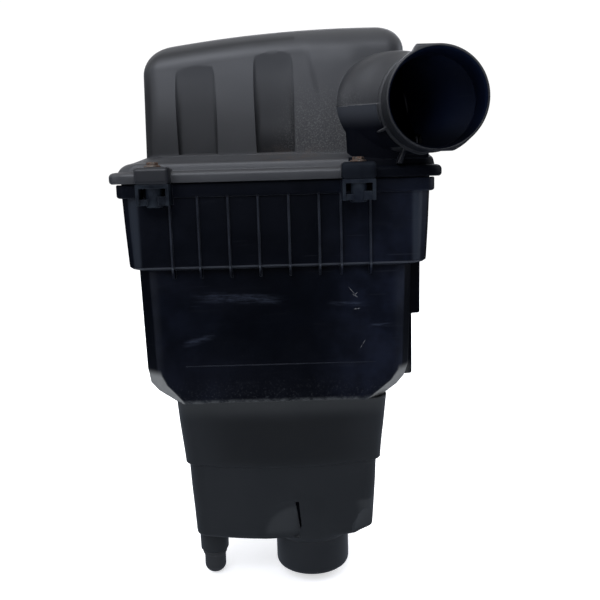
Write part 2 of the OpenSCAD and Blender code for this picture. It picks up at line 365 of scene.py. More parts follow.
def recess(name, xa, xb, ztop):
    """sunk panel of the front wall: deepest at its foot and fading out upwards"""
    rings = []
    n = 22
    for s in range(n + 1):
        t = s / n
        z = 22.4 + (ztop - 22.4) * t
        yf = 16.1 + 6.6 * (z - 20) / 78.0
        dep = 4.6 * (1 - t) ** 1.05 + 0.05
        dep -= 0.9 * smooth((t - 0.72) / 0.28)
        x0 = xa[0] + (xa[1] - xa[0]) * t
        x1 = xb[0] + (xb[1] - xb[0]) * t
        y = yf + dep
        r = 3.2
        c = []
        yo = yf - 8
        c += [(x0 - 0.8, yo), (x1 + 0.8, yo)]
        c += [(x1 + 0.1, y - r)]
        for k in range(1, 7):
            a = PI / 2 * k / 6
            c.append((x1 - r + r * math.cos(a), y - r + r * math.sin(a)))
        for k in range(1, 12):
            u = k / 12
            c.append((x1 - r + (x0 + r - x1 + r) * u, y + 0.25 * math.sin(PI * u)))
        for k in range(0, 7):
            a = PI / 2 + PI / 2 * k / 6
            c.append((x0 + r + r * math.cos(a), y - r + r * math.sin(a)))
        c = np.array(c)
        rings.append(np.column_stack([c, np.full(len(c), z)]))
    # rounded foot
    foot = rings[0].copy()
    foot[:, 2] -= 0.6
    foot[:, 1] = np.where(foot[:, 1] > 17, foot[:, 1] - 0.7, foot[:, 1])
    rings.insert(0, foot)
    return solid(name, loft(rings))


def bez(P, n):
    """Catmull-Rom samples through rows"""
    P = [np.array(p, float) for p in P]
    P = [2 * P[0] - P[1]] + P + [2 * P[-1] - P[-2]]
    out = []
    for i in range(1, len(P) - 2):
        for s in range(n):
            t = s / n
            a, b, c, d = P[i - 1:i + 3]
            out.append(0.5 * ((2 * b) + (c - a) * t + (2 * a - 5 * b + 4 * c - d) * t * t + (3 * b - a - 3 * c + d) * t ** 3))
    out.append(P[-2])
    return out


NECK = [(80, 50, 54, 35), (84, 36, 55.2, 38), (90, 20, 56.0, 39.4), (99, 10, 55.8, 39.2), (110, 3.2, 55.0, 37.3), (121, -3.0, 55, 37.1)]


def neck_solid(name, t, n=72, lower=0.0, y_end=None):
    rings = []
    rows = bez(NECK, 7)
    a = np.arange(n) * 2 * PI / n
    if lower:
        a = np.sort(np.concatenate([a, PI + np.radians([-1.5, -0.9, -0.45, 0.45, 0.9, 1.5])]))
    n = len(a)
    for x, y, z, r in rows:
        rr = np.full(n, r - t)
        if lower:
            rr = rr + lower * (np.abs(np.degrees(a) - 180) < 0.6) + 0.25 * smooth((-np.sin(a) - 0.002) / 0.02)
        rings.append(np.column_stack([x + rr * np.cos(a), np.full(n, y), z + rr * np.sin(a)]))
    if y_end is not None:
        last = rings[-1].copy()
        last[:, 1] = y_end
        rings.append(last)
    return solid(name, loft(rings))


def mouth_r(a, h):
    """outside radius of the spigot's end: two flats with a step at the end of each"""
    a = np.degrees(a) % 360
    r = np.full(a.shape, 37.05)
    top = (a > 84) & (a < 119)
    r = np.where(top, 37.05 + (37.05 / np.cos(np.radians(np.clip((a - 90), 0, 22))) - 37.05) * np.clip((118.5 - a) / 6.0, 0, 1), r)
    bot = (a >= 270) & (a < 287)
    r = np.where(bot, 37.05 / np.cos(np.radians(a - 270)), r)
    dia = (a >= 287) & (a < 309)
    r = np.where(dia, 38.7 + (37.05 - 38.7) * (a - 287) / 22.0, r)
    return r


def spigot_solid(name):
    n = 180
    rings = []
    a = np.arange(n) * 2 * PI / n
    cxz = OUT
    def ring_at(y, r):
        return np.column_stack([cxz[0] + r * np.cos(a), np.full(n, y), cxz[1] + r * np.sin(a)])
    base = np.full(n, 37.6)
    pad = np.maximum(mouth_r(a, 0), 0)
    extra = np.maximum(pad - 37.05, 0)
    # front of the rim, rounded lip, seat for the hose, stop ring, root
    rows = [(-34.0, 35.6, 0.0), (-34.0, 36.35, 0.6), (-33.75, 36.8, 0.85), (-33.2, 37.1, 1.0), (-31.0, 37.4, 1.0), (-29.0, 37.6, 1.0),
            (-26.5, 37.6, 1.0), (-25.8, 37.6, 0.5), (-25.3, 37.6, 0.0), (-12, 37.6, 0), (-6.9, 37.6, 0), (-6.35, 37.7, 0), (-6.05, 38.2, 0),
            (-5.9, 39.1, 0), (-5.4, 39.65, 0), (-4.9, 39.8, 0), (-3.0, 39.8, 0), (-2.3, 39.5, 0), (-1.9, 38.9, 0), (-1.6, 37.9, 0), (0.5, 37.4, 0)]
    fade = np.maximum(smooth((26 - np.abs(np.degrees(a) - 100)) / 14.0), smooth((62 - np.abs(np.degrees(a) - 322)) / 16.0))
    seat = 1.0 * smooth((34 - np.abs(np.degrees(a) - 290)) / 14.0)
    for y, r, k in rows:
        rr = np.full(n, float(r))
        if -6.3 < y < -1.5:
            rr = rr - (r - 37.2) * fade
        if -29.5 < y < -1.5:
            rr = rr - seat
        rings.append(ring_at(y, rr + extra * k * (1.0 if r > 37 else 0.9)))
    return solid(name, loft(rings[::-1]))


def bore_solid(name):
    rows = [(-36.0, 36.6), (-34.01, 35.75), (-33.6, 35.45), (-31.0, 34.45), (-30.4, 34.3), (-14, 34.3), (-2.9, 34.3)]
    return solid(name, lathe([(r, -y) for y, r in rows], (OUT[0], 0, OUT[1]), "y", 160))


def lid_lug(name, x, y):
    """block that carries a lid screw; its hole and the counterbore for its head are cut in build_lid"""
    s = 1 if y < 90 else -1
    ya, yb = sorted((y - 9.4 * s, y + 14 * s))
    ob = box(name, x - 13.2, x + 13.2, ya, yb, -0.9 if s > 0 else 0.3, 12.4, 3.0, 5)
    return ob


def build_lid():
    outer = solid("flange", loft([rect(FX0 + p[0], FX1 - p[1], FY0 + p[2], FY1 - p[3], p[4], p[5], 10, 24, 14) for p in flange_rows()]))
    steps = [("+", dome_solid(0, "dome"))]
    steps.append(("+", neck_solid("neck", 0, 96, 0.55)))
    # wall that closes the space under the neck
    steps.append(("+", prism("neck_foot", [(56.5, 21.0), (58.6, 15.6), (61.6, 11.6), (66.4, 8.9), (74, 7.2), (121.0, 3.0), (121.0, 24), (56.5, 24)], "z", 14.0, 41.0, 0.7, 2)))
    for k, p in SCREWS.items():
        steps.append(("+", lid_lug("lug_" + k, *p)))
    dome_in = dome_solid(3.0, "dome_in")
    back = [("-", box("back", a, b, 10, 25.6, 18.2, 104, 1.2, 2)) for a, b in ((-80.0, -38.0), (-18.4, 23.5))]
    combine(dome_in, back)
    steps.append(("-", dome_in))
    inner = [(3, 3, 3, 3, 12, -2), (3, 3, 3, 3, 12, 5.4), (13, 9, 10, 10, 10, 7.3), (13, 9, 10, 10, 10, 12.2), (31, 12, 19, 20, 10, 16.5)]
    inner = fillet(inner, [0, 1.5, 1.2, 2.0, 0], seg=3)
    steps.append(("-", solid("hollow", loft([rect(FX0 + p[0], FX1 - p[1], FY0 + p[2], FY1 - p[3], p[4], p[5], 6, 8, 8) for p in inner]))))
    steps.append(("-", box("foot_in", 67, 117.5, 11.5, 30, 6, 33, 1.5, 2)))
    # rib that presses on the seal
    rib_o = solid("rib_o", loft([rect(-118 + d, 124 - d, 12 + d, 178 - d, 10, z, 8, 8, 8) for d, z in ((0.5, 5.2), (0, 5.7), (0, 13.5))]))
    rib_i = solid("rib_i", loft([rect(-115 - d, 121 + d, 15 - d, 175 + d, 8, z, 8, 8, 8) for d, z in ((0.5, 4.0), (0.5, 5.2), (0, 5.7), (0, 20))]))
    combine(rib_o, [("-", rib_i)])
    steps.append(("+", rib_o))
    steps.append(("+", spigot_solid("spigot")))
    # strut from the spigot down to the flange; the small fin on the left is added after the cuts
    steps.append(("+", prism("strut", [(100.6, 22.5), (103.1, 22.5), (99.4, 10.3), (95.6, 10.3)], "y", -5.6, 9, 0.5)))
    # inside of the neck, the spigot's bore, screw holes with counterbores for the heads, and the two sunk panels
    steps.append(("-", neck_solid("neck_in", 3.1, 96, 0, -3.3)))
    steps.append(("-", bore_solid("bore")))
    for k, p in SCREWS.items():
        prof = [(3.6, -6), (3.6, 12.0), (4.0, 12.45), (4.2, 13)]
        steps.append(("-", solid("hole_" + k, lathe(prof, (p[0], p[1], 0), "z", 32))))
        head = [(7.6, 12.4), (7.6, 17), (8.6, 24)]
        steps.append(("-", solid("head_" + k, lathe(head, (p[0], p[1], 0), "z", 40))))
    steps.append(("-", recess("recess_l", (-73.2, -76.2), (-42.8, -41.8), 103.0)))
    steps.append(("-", recess("recess_r", (-11.8, -14.4), (17.8, 19.4), 108.0)))
    combine(outer, steps)
    # fin at the left of the stop ring
    fin = prism("fin", [(80.2, 34.4), (81.0, 33.6), (90.5, 36.2), (91.5, 38.6), (86.4, 37.6)], "y", -6.2, 1.5, 0.4)
    combine(outer, [("+", fin)])
    return outer


# ---------------------------------------------------------------- housing
def oct_ring(x0, x0b, x1, x1b, y0, yb0, yb1, y1, z, rf=3.0, rc=5.0, rr=11.0, n=6, mx=20):
    """front face from x0 to x1, flanks from x0b and x1b further back"""
    V = [(x0, y0, rf), (x1, y0, rf), (x1b, yb1, rc), (x1b, y1, rr), (x0b, y1, rr), (x0b, yb0, rc)]
    return poly(V, z, n, [mx, 4, 12, mx, 12, 4])


def housing_outer():
    L = []
    # mid section from the crease up: x0, x0b, x1, x1b, y0, yb0, yb1, y1, z, rf, rc, rr
    mid = [(-80.0, -89.2, 72.8, 87.5, 17.3, 29, 31, 155, -182.3, 4.0, 6, 10),
           (-82.0, -95.0, 77.0, 92.0, 17.2, 29, 31, 157, -178.6, 5.0, 6, 11),
           (-86.3, -104.0, 83.8, 99.6, 17.1, 29.5, 31, 160, -173.0, 6.0, 7, 12),
           (-92.6, -110.0, 92.4, 105.4, 17.0, 30, 31, 165, -166.0, 6.0, 7, 12),
           (-97.4, -111.2, 99.6, 108.0, 17.0, 30, 30, 168, -157.6, 8.0, 8, 12),
           (-98.2, -112.0, 100.2, 108.8, 17.0, 30, 29, 168, -154.0, 9.0, 8, 12),
           (-99.2, -112.8, 101.4, 110.0, 17.0, 30, 29, 170, -113, 9.0, 8, 12),
           (-100.3, -113.5, 102.8, 111.2, 17.0, 30, 29, 172, -69.2, 9.0, 8, 12)]
    top = [(-106.2, -117.4, 108.4, 120.2, 10.6, 25, 25, 178, -68.3, 8.0, 8, 11),
           (-109.6, -119.6, 112.0, 122.6, 8.0, 24, 24, 180.6, -66.4, 8.0, 8, 11),
           (-109.9, -119.9, 112.4, 122.9, 7.9, 24, 24, 181, -64.4, 8.0, 8, 11),
           (-110.8, -121.4, 113.2, 124.4, 7.9, 24, 24, 181.6, -38, 8.0, 8, 11),
           (-111.6, -122.6, 113.8, 125.6, 7.9, 24, 24, 182, -9.0, 8.0, 8, 11)]
    rows = mid + top
    # the rows are used as they are
    out = []
    for i, p in enumerate(rows):
        out.append(p)
    return [oct_ring(*p) for p in out]


def build_housing():
    base = solid("shell", loft(housing_outer()))
    band = [(2.0, -11.0), (0.9, -10.6), (0.35, -10.0), (0, -9.2), (0, -1.2), (0.3, -0.55), (0.8, -0.3)]
    band_s = solid("band", loft([rect(-124.2 + d, 127.6 - d, 4.4 + d, 185.6 - d, 12, z, 8, 24, 14) for d, z in band]))
    steps = [("+", band_s)]
    # pad on the right flank
    steps.append(("+", prism("pad", [(104, 31), (119.6, 35.5), (119.6, 118), (104, 122)], "z", -113.5, -66.5, 1.6, 3)))
    steps.append(("+", prism("pad_low", [(100, 33), (112.8, 36), (112.8, 112), (100, 116)], "z", -166.0, -108, 1.6, 3)))
    # ribs, and a thin strip for the mould line lower down
    for x in RIB_X:
        steps.append(("+", prism("rib", [(5.0, -9.5), (5.0, -68.2), (8.6, -75.2), (18.5, -76.6), (18.5, -9.5)], "x", x - 0.78, x + 0.78, 0.3)))
        steps.append(("+", prism("ribr", [(171, -9.5), (171, -67.5), (183.6, -66.0), (184.2, -9.5)], "x", x - 0.78, x + 0.78, 0.3)))
    for y in (52.0, 84.0, 116.0, 148.0):
        steps.append(("+", prism("ribl", [(-126.0, -9.5), (-122.6, -66.0), (-112, -70), (-112, -9.5)], "y", y - 0.95, y + 0.95, 0.4)))
        steps.append(("+", prism("ribq", [(128.6, -9.5), (125.6, -66.0), (114, -70), (114, -9.5)], "y", y - 0.95, y + 0.95, 0.4)))
    steps.append(("+", prism("line", [(16.82, -149.7), (17.6, -149.2), (17.6, -150.6), (16.82, -150.1)], "x", -77.0, 80.0, 0.0)))
    # lugs under the lid's lugs
    for k, (x, y) in SCREWS.items():
        s = 1 if y < 90 else -1
        def Y(a, b):
            return sorted((y + a * s, y + b * s))
        ya, yb = Y(-8.2, 13)
        steps.append(("+", box("w1", x - 12.8, x - 10.1, ya, yb, -16.6, -0.6, 0.5, 2)))
        steps.append(("+", box("w2", x + 10.1, x + 12.8, ya, yb, -16.6, -0.6, 0.5, 2)))
        steps.append(("+", box("w3", x - 12.8, x + 12.8, ya, yb, -3.6, -0.5, 0.5, 2)))
        boss = [(5.0, -18.2), (5.9, -18.0), (6.45, -17.4), (6.6, -10), (6.7, -1.0)]
        fa, fb = Y(-6.2, -3.2)
        steps.append(("+", box("w4", x - 12.0, x - 4.0, fa, fb, -16.4, -11.6, 0.5, 2)))
        steps.append(("+", box("w5", x + 4.0, x + 12.0, fa, fb, -16.4, -9.6, 0.5, 2)))
        steps.append(("+", solid("boss", lathe(boss, (x, y, 0), "z", 40))))
        za, zb = Y(0, 12.5)
        steps.append(("+", box("web", x - 1.2, x + 1.2, za, zb, -17.6, -1.5, 0.4, 2)))
    # rear tabs with their rubber bushes' holes
    for k, x in BUSH.items():
        ring = [(14.4, -3), (15, -2.4), (15, 2.4), (14.4, 3)]
        steps.append(("+", solid("tab", lathe(ring, (x, BUSH_Y, BUSH_Z), "z", 64))))
        steps.append(("+", box("tabp", x - 15, x + 15, 178, 206, BUSH_Z - 3, BUSH_Z + 3, 0.6, 2)))
        for d in (-15, 12):
            steps.append(("+", prism("tg", [(178, BUSH_Z - 2), (192, BUSH_Z - 2), (180, BUSH_Z - 22), (178, BUSH_Z - 22)], "x", x + d, x + d + 3, 0.5)))
    # inside
    inn = [(-77.5, -86.5, 70.8, 85.0, 20.4, 31, 33, 152, -184.0), (-79.5, -90.0, 74.5, 89.0, 20.3, 31, 33, 154, -177.6), (-90.0, -103.8, 90.0, 102.4, 20.1, 32, 33, 162, -164.0),
           (-95.2, -108.4, 97.4, 105.4, 20.0, 32, 31, 165, -156.0), (-97.4, -110.4, 100.0, 108.2, 20.0, 32, 31, 169, -66.5),
           (-107.2, -117.0, 109.6, 120.0, 11.0, 26, 26, 177.8, -63.6), (-108.6, -119.4, 110.8, 122.4, 10.9, 26, 26, 179, -10.3)]
    steps.append(("-", solid("hin", loft([oct_ring(*p, 2, 4, 8, 4, 6) for p in inn]))))
    steps.append(("-", solid("hin2", loft([rect(-113, 116, 14, 174, 9, z, 8, 8, 8) for z in (-12, 1)]))))
    chan = [(0.0, -7.0), (0.0, -1.2), (-0.7, -0.2), (-0.9, 1)]
    steps.append(("-", solid("chan", loft([rect(-121 + d, 124.5 - d, 7.5 + d, 182.5 - d, 10, z, 8, 8, 8) for d, z in chan]))))
    for k, (x, y) in SCREWS.items():
        steps.append(("-", solid("ih", lathe([(4.42, -16.1), (4.42, -1.0), (4.9, -0.4), (5.0, 2)], (x, y, 0), "z", 48))))
        steps.append(("-", solid("sh", lathe([(3.3, -22.5), (3.2, -19.2), (3.2, -8)], (x, y, 0), "z", 40))))
    for k, x in BUSH.items():
        steps.append(("-", solid("bh", lathe([(9.02, -6), (9.02, 6)], (x, BUSH_Y, BUSH_Z), "z", 64))))
    combine(base, steps)
    return base


# ---------------------------------------------------------------- lower chamber
def bottom(x, y=None):
    x = np.asarray(x, float)
    return np.interp(x, [-90, -60, 0, 50, 62, 78, 90], [-305.6, -305.8, -306.2, -306.2, -305.6, -302.4, -301.0])


def chamber_outer():
    # x0, x1, y0, bow, y1, z, corner radius (front left, front right)
    R = [(-88.6, 90.2, 17.3, 0.2, 155, -181.6, 15, 15), (-88.3, 89.7, 18.0, 1.0, 154, -187, 15, 15), (-87.7, 88.9, 19.5, 2.6, 152.5, -197, 14, 15),
         (-87.0, 88.0, 21.4, 4.8, 151, -207, 13, 14), (-86.2, 86.9, 23.4, 7.2, 149.4, -218, 12.5, 14), (-85.2, 85.8, 25.2, 9.2, 147.6, -230, 12, 13), (-84.7, 85.1, 26.0, 10.0, 146.4, -238.2, 12, 12)]
    step = [(-84.6, 85.0, 26.0, 10.0, 146.2, -239.2, 12, 12), (-84.2, 84.4, 26.4, 10.1, 145.8, -239.8, 12, 12), (-82.6, 82.3, 27.6, 10.4, 144.0, -240.6, 12, 12), (-81.9, 81.5, 27.8, 10.5, 143.2, -241.6, 12, 12)]
    low = [(-80.9, 80.5, 27.2, 10.0, 142, -262, 12, 12), (-79.2, 78.8, 25.8, 8.6, 140, -284, 12, 12)]
    rings = []
    for x0, x1, y0, b, y1, z, fl, fr in R + step + low:
        rings.append(rect(x0, x1, y0, y1, 12, z, 8, 60, 16, b, fl, fr))
    # rounded lower edge that follows the underside
    for d, h in ((0.0, 4.0), (0.12, 2.6), (0.6, 1.2), (1.6, 0.35), (2.8, 0.0)):
        x0, x1, y0, y1 = -77.9 + d, 77.4 - d, 24.6 + d, 138.4 - d
        rings.append(rect(x0, x1, y0, y1, 11, lambda x, y, h=h: bottom(x) + h, 8, 60, 16, 7.4))
    for d in (12, 26, 42, 52):
        x0, x1, y0, y1 = -77.9 + d, 77.4 - d, 24.6 + d, 138.4 - d
        w = y1 - y0
        rings.append(rect(x0, x1, y0, y1, min(8, w / 2.4), lambda x, y: bottom(x), 8, 60, 16, 7.4 * max(0, 1 - d / 40)))
    return rings[::-1]


def ellipsoid(name, c, r, rot=0.0, nu=48, nv=32):
    rings = []
    for j in range(1, nv):
        t = PI * j / nv
        z = -math.cos(t) * r[2]
        k = math.sin(t)
        a = np.arange(nu) * 2 * PI / nu
        rings.append(np.column_stack([r[0] * k * np.cos(a), r[1] * k * np.sin(a), np.full(nu, z)]))
    v, f = loft(rings)
    ca, sa = math.cos(rot), math.sin(rot)
    x, z = v[:, 0] * ca - v[:, 2] * sa, v[:, 0] * sa + v[:, 2] * ca
    v = np.column_stack([x + c[0], v[:, 1] + c[1], z + c[2]])
    return solid(name, (v, f))


def build_chamber():
    base = solid("chamber", loft(chamber_outer()))
    steps = []
    # hollows in the front beside the intake; the left one ends at an upright step
    sl = ellipsoid("scoop_l", (13.0, 9.5, -303.0), (50.0, 12.0, 45.0))
    combine(sl, [("-", prism("keep", [(9.6, -240), (10.3, -270), (13.4, -300), (14.4, -360), (90, -360), (90, -240)], "y", -10, 60))])
    steps.append(("-", sl))
    steps.append(("-", ellipsoid("scoop_r", (88.0, 8.0, -303.5), (36.0, 27.0, 38.0))))
    boss = [(10.6, -329.0), (10.7, -327.9), (12.2, -327.4), (12.5, -326.8), (12.7, -318), (13.0, -305), (13.4, -300)]
    steps.append(("+", solid("pegb", lathe(boss, (PEG[0], PEG[1], 0), "z", 64))))
    inn = [(-74, 73, 32.5, 135, 5, -300.0), (-77.5, 77.2, 34, 140, 6, -262), (-78.6, 78.2, 31, 140, 9, -243), (-81.4, 81.6, 29.5, 143, 10, -238), (-84.0, 85, 24.6, 148, 5, -207), (-85.4, 87, 20.6, 152, 0.5, -180)]
    steps.append(("-", solid("cin", loft([rect(x0, x1, y0, y1, 9, z, 6, 20, 8, b) for x0, x1, y0, y1, b, z in inn]))))
    # socket round the intake tube; it swells softly out of the front
    def flare(a, r, h):
        side = smooth((np.abs((np.degrees(a) - 270 + 180) % 360 - 180) - 40) / 30.0)
        low = 0.0 if h > -304 else max(0.0, (-h - 304.0))
        out = 3.2 * max(0.0, 1 - max(0.0, low - 1.6) / 4.2) ** 2.2
        return np.full(len(a), float(r)) + side * out
    prof = [(32.42, -310.4), (32.5, -309.6), (32.62, -308.8), (32.8, -308.0), (33.1, -307.2), (33.35, -306.4), (33.5, -305.6), (33.6, -304.4), (33.6, -300), (33.3, -290), (32.8, -280), (32.0, -271), (31.0, -263)]
    sock = solid("sock", lathe(prof, (INT[0], INT[1], 0), "z", 144, flare))
    combine(sock, [("-", prism("side", [(-30, 0), (12.6, 0), (12.6, 27), (-30, 27)], "z", -305.4, -250))])
    steps.append(("+", sock))
    steps.append(("+", solid("pin", lathe([(5.2, -343.8), (6.0, -343.0), (6.0, -325)], (PEG[0], PEG[1], 0), "z", 40))))
    steps.append(("-", solid("tub", lathe([(32.45, -312), (32.45, -305.5), (30.25, -303.5), (30.25, -262.0)], (INT[0], INT[1], 0), "z", 144))))
    # narrow slot beside the intake
    steps.append(("-", prism("slot", [(9.9, -271.9), (13.0, -271.5), (14.9, -294.6), (13.5, -296.2)], "y", 8.0, 21.3, 0.0)))
    combine(base, steps)
    return base


def build_tube():
    rows = [(32.4, -304.6), (32.4, -303.6)]
    prof = [(29.4, -262.0), (29.9, -262.0), (30.2, -262.3), (30.2, -303.5), (32.4, -305.6), (32.4, -310.0), (32.4, -320.0),
            (32.4, -336.6), (32.1, -338.2), (31.4, -339.5), (30.8, -340.0), (30.3, -340.0), (29.8, -339.7), (29.45, -339.0), (29.4, -338.0)]
    n = 128
    rings = []
    a = np.arange(n) * 2 * PI / n
    for r, z in prof[::-1]:
        rings.append(np.column_stack([INT[0] + r * np.cos(a), INT[1] + r * np.sin(a), np.full(n, z)]))
    return solid("tube", loft(rings, closed=True))


def build_cap():
    x, y, z = PEG
    prof = [(0.3, -22.0), (1.8, -21.85), (3.4, -21.45)] + [(9.5 * math.cos(math.radians(t)), -14 - 8 * math.sin(math.radians(t))) for t in range(64, 0, -8)]
    prof += [(9.5, -14.0), (9.5, -8.4), (9.5, -4.6), (9.75, -3.9), (10.2, -3.3), (10.1, -2.9), (9.9, -2.7), (10.2, -2.45), (10.75, -2.2), (10.9, -1.7), (10.9, -0.6), (10.7, -0.15), (10.4, 0.0), (6.6, 0.0), (6.05, -0.4), (6.0, -1.0), (6.0, -15.2), (5.7, -15.5), (0.3, -15.5)]
    return solid("cap", lathe([(r, h) for r, h in prof], (x, y, z), "z", 72))


# ---------------------------------------------------------------- filter
def build_pleats():
    x0, x1, y0, y1 = -106.0, 108.0, 21.0, 167.0
    pitch = 7.0
    n = int((x1 - x0 - 4) // pitch)
    xs = (x0 + x1) / 2 - n * pitch / 2
    top, bot = 2.6, -55.6
    t = np.array([0.0, 0.012, 0.03, 0.06, 0.12, 0.25, 0.5, 0.75, 0.88, 0.94, 0.97, 0.988])
    line = []
    for i in range(2 * n):
        for u in t:
            k = i + u
            tri = abs(((k + 1) % 2) - 1)          # 1 at even folds, 0 at odd folds
            tri = 1 - tri
            a = 1 - 2 * tri
            line.append((xs + k * pitch / 2, u, i))
    pts = []
    for x, u, i in line:
        f = u if i % 2 == 0 else 1 - u            # 0 at the upper folds
        g = 0.5 - 0.5 * math.cos(PI * f) * (1.0)
        # nearly straight flanks with rounded folds
        s = 0.5 - math.atan(math.tan(PI * (0.5 - f) * 0.985)) / (PI * 0.985)
        z = top + (bot - top) * (f * 0.94 + 0.06 * g)
        pts.append((x, z))
    pts.append((xs + n * pitch, top))
    P = np.array(pts)
    # round the folds
    Q = P.copy()
    for _ in range(2):
        Q[1:-1] = 0.25 * Q[:-2] + 0.5 * Q[1:-1] + 0.25 * Q[2:]
        Q[:, 0] = np.linspace(Q[0, 0], Q[-1, 0], len(Q)) * 0 + Q[:, 0]
    d = np.gradient(Q, axis=0)
    d /= np.linalg.norm(d, axis=1)[:, None]
    nrm = np.column_stack([-d[:, 1], d[:, 0]])
    A, B = Q + nrm * 0.3, Q - nrm * 0.3
    m = len(Q)
    v, f = [], []
    ys = np.linspace(y0, y1, 5)
    for y in ys:
        v += [(p[0], y, p[1]) for p in A] + [(p[0], y, p[1]) for p in B]
    for j in range(len(ys) - 1):
        a, b = j * 2 * m, (j + 1) * 2 * m
        for i in range(m - 1):
            f.append((a + i, a + i + 1, b + i + 1, b + i))
            f.append((a + m + i, b + m + i, b + m + i + 1, a + m + i + 1))
        f.append((a, b, b + m, a + m))
        f.append((a + m - 1, a + 2 * m - 1, b + 2 * m - 1, b + m - 1))
    last = (len(ys) - 1) * 2 * m
    for i in range(m - 1):
        f.append((i, m + i, m + i + 1, i + 1))
        f.append((last + i, last + i + 1, last + m + i + 1, last + m + i))
    return solid("pleats", (np.array(v), f))


def build_seal():
    prof = [(0.03, -6.8), (0, -6.2), (0, 3.9), (0.03, 4.6), (0.09, 4.9), (0.30, 4.9), (0.36, 4.4), (0.42, 3.6), (0.60, 3.6), (0.66, 4.4), (0.72, 4.75), (0.93, 4.75), (0.98, 4.4), (1.0, 3.8),
            (1.0, -13.4), (0.97, -13.9), (0.93, -14.0), (0.78, -14.0), (0.74, -13.8), (0.72, -13.3), (0.72, -7.4), (0.70, -6.9), (0.66, -6.8)]
    rings = []
    for t, z in prof:
        rings.append(rect(-120.4 + 14.4 * t, 124 - 16 * t, 8 + 13 * t, 182 - 15 * t, 9.5 - 7.5 * t, z, 8, 24, 14))
    return solid("seal", loft(rings, closed=True))


def build_beads():
    obs = []
    rng = np.random.RandomState(4)
    allv, allf = [], []
    for y in (52.0, 94.0, 136.0):
        rings = []
        n = 14
        k = 150
        for j in range(k + 1):
            x = -102 + 206 * j / k
            w = 1.5 + 0.12 * math.sin(j * 0.9) + rng.uniform(-0.06, 0.06)
            h = 1.45 + 0.1 * math.sin(j * 2 * PI * (206 / k) / 7.0) + rng.uniform(-0.04, 0.04)
            e = 1.0 if 0 < j < k else 0.35
            a = np.arange(n) * 2 * PI / n
            zz = 3.0 + np.maximum(np.sin(a), 0) * h * e + np.minimum(np.sin(a), 0) * 0.02
            rings.append(np.column_stack([np.full(n, x), y - w * e * np.cos(a) * (np.where(np.sin(a) < 0, 1, np.abs(np.cos(a)) ** -0.0)), zz + 0.02]))
        v, f = loft(rings)
        b = sum(len(q) for q in allv)
        allv.append(v)
        allf += [tuple(i + b for i in q) for q in f]
    return make("beads", np.vstack(allv), allf)


# ---------------------------------------------------------------- fasteners
def build_screw(x, y):
    n = 96
    z0 = 12.4
    def hexr(a, ap):
        d = (np.degrees(a) % 60) - 30
        return ap / np.cos(np.radians(d))
    def lobe(a, r):
        return r * (0.90 + 0.10 * np.cos(6 * a))
    rings = []
    def add(rad, h):
        a = np.arange(n) * 2 * PI / n
        rr = rad(a) if callable(rad) else np.full(n, float(rad))
        rings.append(np.column_stack([x + rr * np.cos(a), y + rr * np.sin(a), np.full(n, z0 + h)]))
    # tip and thread, from the bottom up
    add(1.4, -30.0)
    add(2.2, -29.6)
    zz = -29.2
    pitch = 1.6
    while zz < -12.4:
        a = np.arange(n) * 2 * PI / n
        ph = (zz / pitch - a / (2 * PI)) % 1.0
        saw = 1 - np.abs(2 * ph - 1)
        rise = smooth((zz + 29.2) / 2.0) * smooth((-12.4 - zz) / 1.2)
        rr = 2.46 + 0.46 * np.clip(saw * 1.5 - 0.3, 0, 1) * rise
        rings.append(np.column_stack([x + rr * np.cos(a), y + rr * np.sin(a), np.full(n, z0 + zz)]))
        zz += 0.2
    add(2.46, -12.2)
    add(2.75, -11.6)
    add(2.78, -0.5)
    add(3.2, 0.0)
    add(6.1, 0.0)
    add(6.35, 0.18)
    add(6.4, 0.6)
    add(6.2, 1.05)
    add(5.75, 1.35)
    add(lambda a: np.minimum(hexr(a, 4.0), 5.6), 1.55)
    add(lambda a: hexr(a, 4.0), 1.8)
    add(lambda a: hexr(a, 4.0), 3.0)
    add(lambda a: np.minimum(hexr(a, 4.0), 4.45), 3.4)
    add(lambda a: np.minimum(hexr(a, 4.0), 4.1), 3.65)
    add(3.75, 3.8)
    add(lambda a: lobe(a, 2.45), 3.75)
    add(lambda a: lobe(a, 2.25), 3.5)
    add(lambda a: lobe(a, 2.2), 2.3)
    add(1.4, 2.1)
    return solid("screw", loft(rings))


def build_insert(x, y):
    n = 96
    prof = [(3.02, -16.0), (3.9, -16.0), (4.1, -15.8), (4.1, -14.8), (4.38, -14.5), (4.38, -10.2), (4.0, -9.9), (4.0, -8.6), (4.38, -8.3), (4.38, -4.0), (4.1, -3.7), (4.1, -2.2), (3.9, -2.0), (3.4, -2.0), (3.02, -2.5)]
    a = np.arange(n) * 2 * PI / n
    rings = []
    for r, z in prof:
        rr = np.full(n, r)
        if r > 4.3:
            rr = r - 0.12 + 0.12 * np.sign(np.sin(24 * a + z * 2.2 + 0.1))
        rings.append(np.column_stack([x + rr * np.cos(a), y + rr * np.sin(a), np.full(n, z)]))
    return solid("insert", loft(rings, closed=True))


def build_bush(x):
    prof = [(6.02, -7.0), (11.6, -7.0), (12.2, -6.7), (12.5, -6.0), (12.5, -4.2), (12.2, -3.5), (11.5, -3.1), (9.6, -3.0), (9.0, -2.6), (8.98, 0.0), (9.0, 2.6), (9.6, 3.0), (11.5, 3.1), (12.2, 3.5), (12.5, 4.2), (12.5, 6.0), (12.2, 6.7), (11.6, 7.0), (9.2, 7.0), (8.9, 6.6), (8.4, 6.6), (8.1, 7.0), (6.02, 7.0)]
    rings = []
    n = 64
    a = np.arange(n) * 2 * PI / n
    for r, z in prof:
        rings.append(np.column_stack([x + r * np.cos(a), BUSH_Y + r * np.sin(a), np.full(n, BUSH_Z + z)]))
    return solid("bush", loft(rings, closed=True))


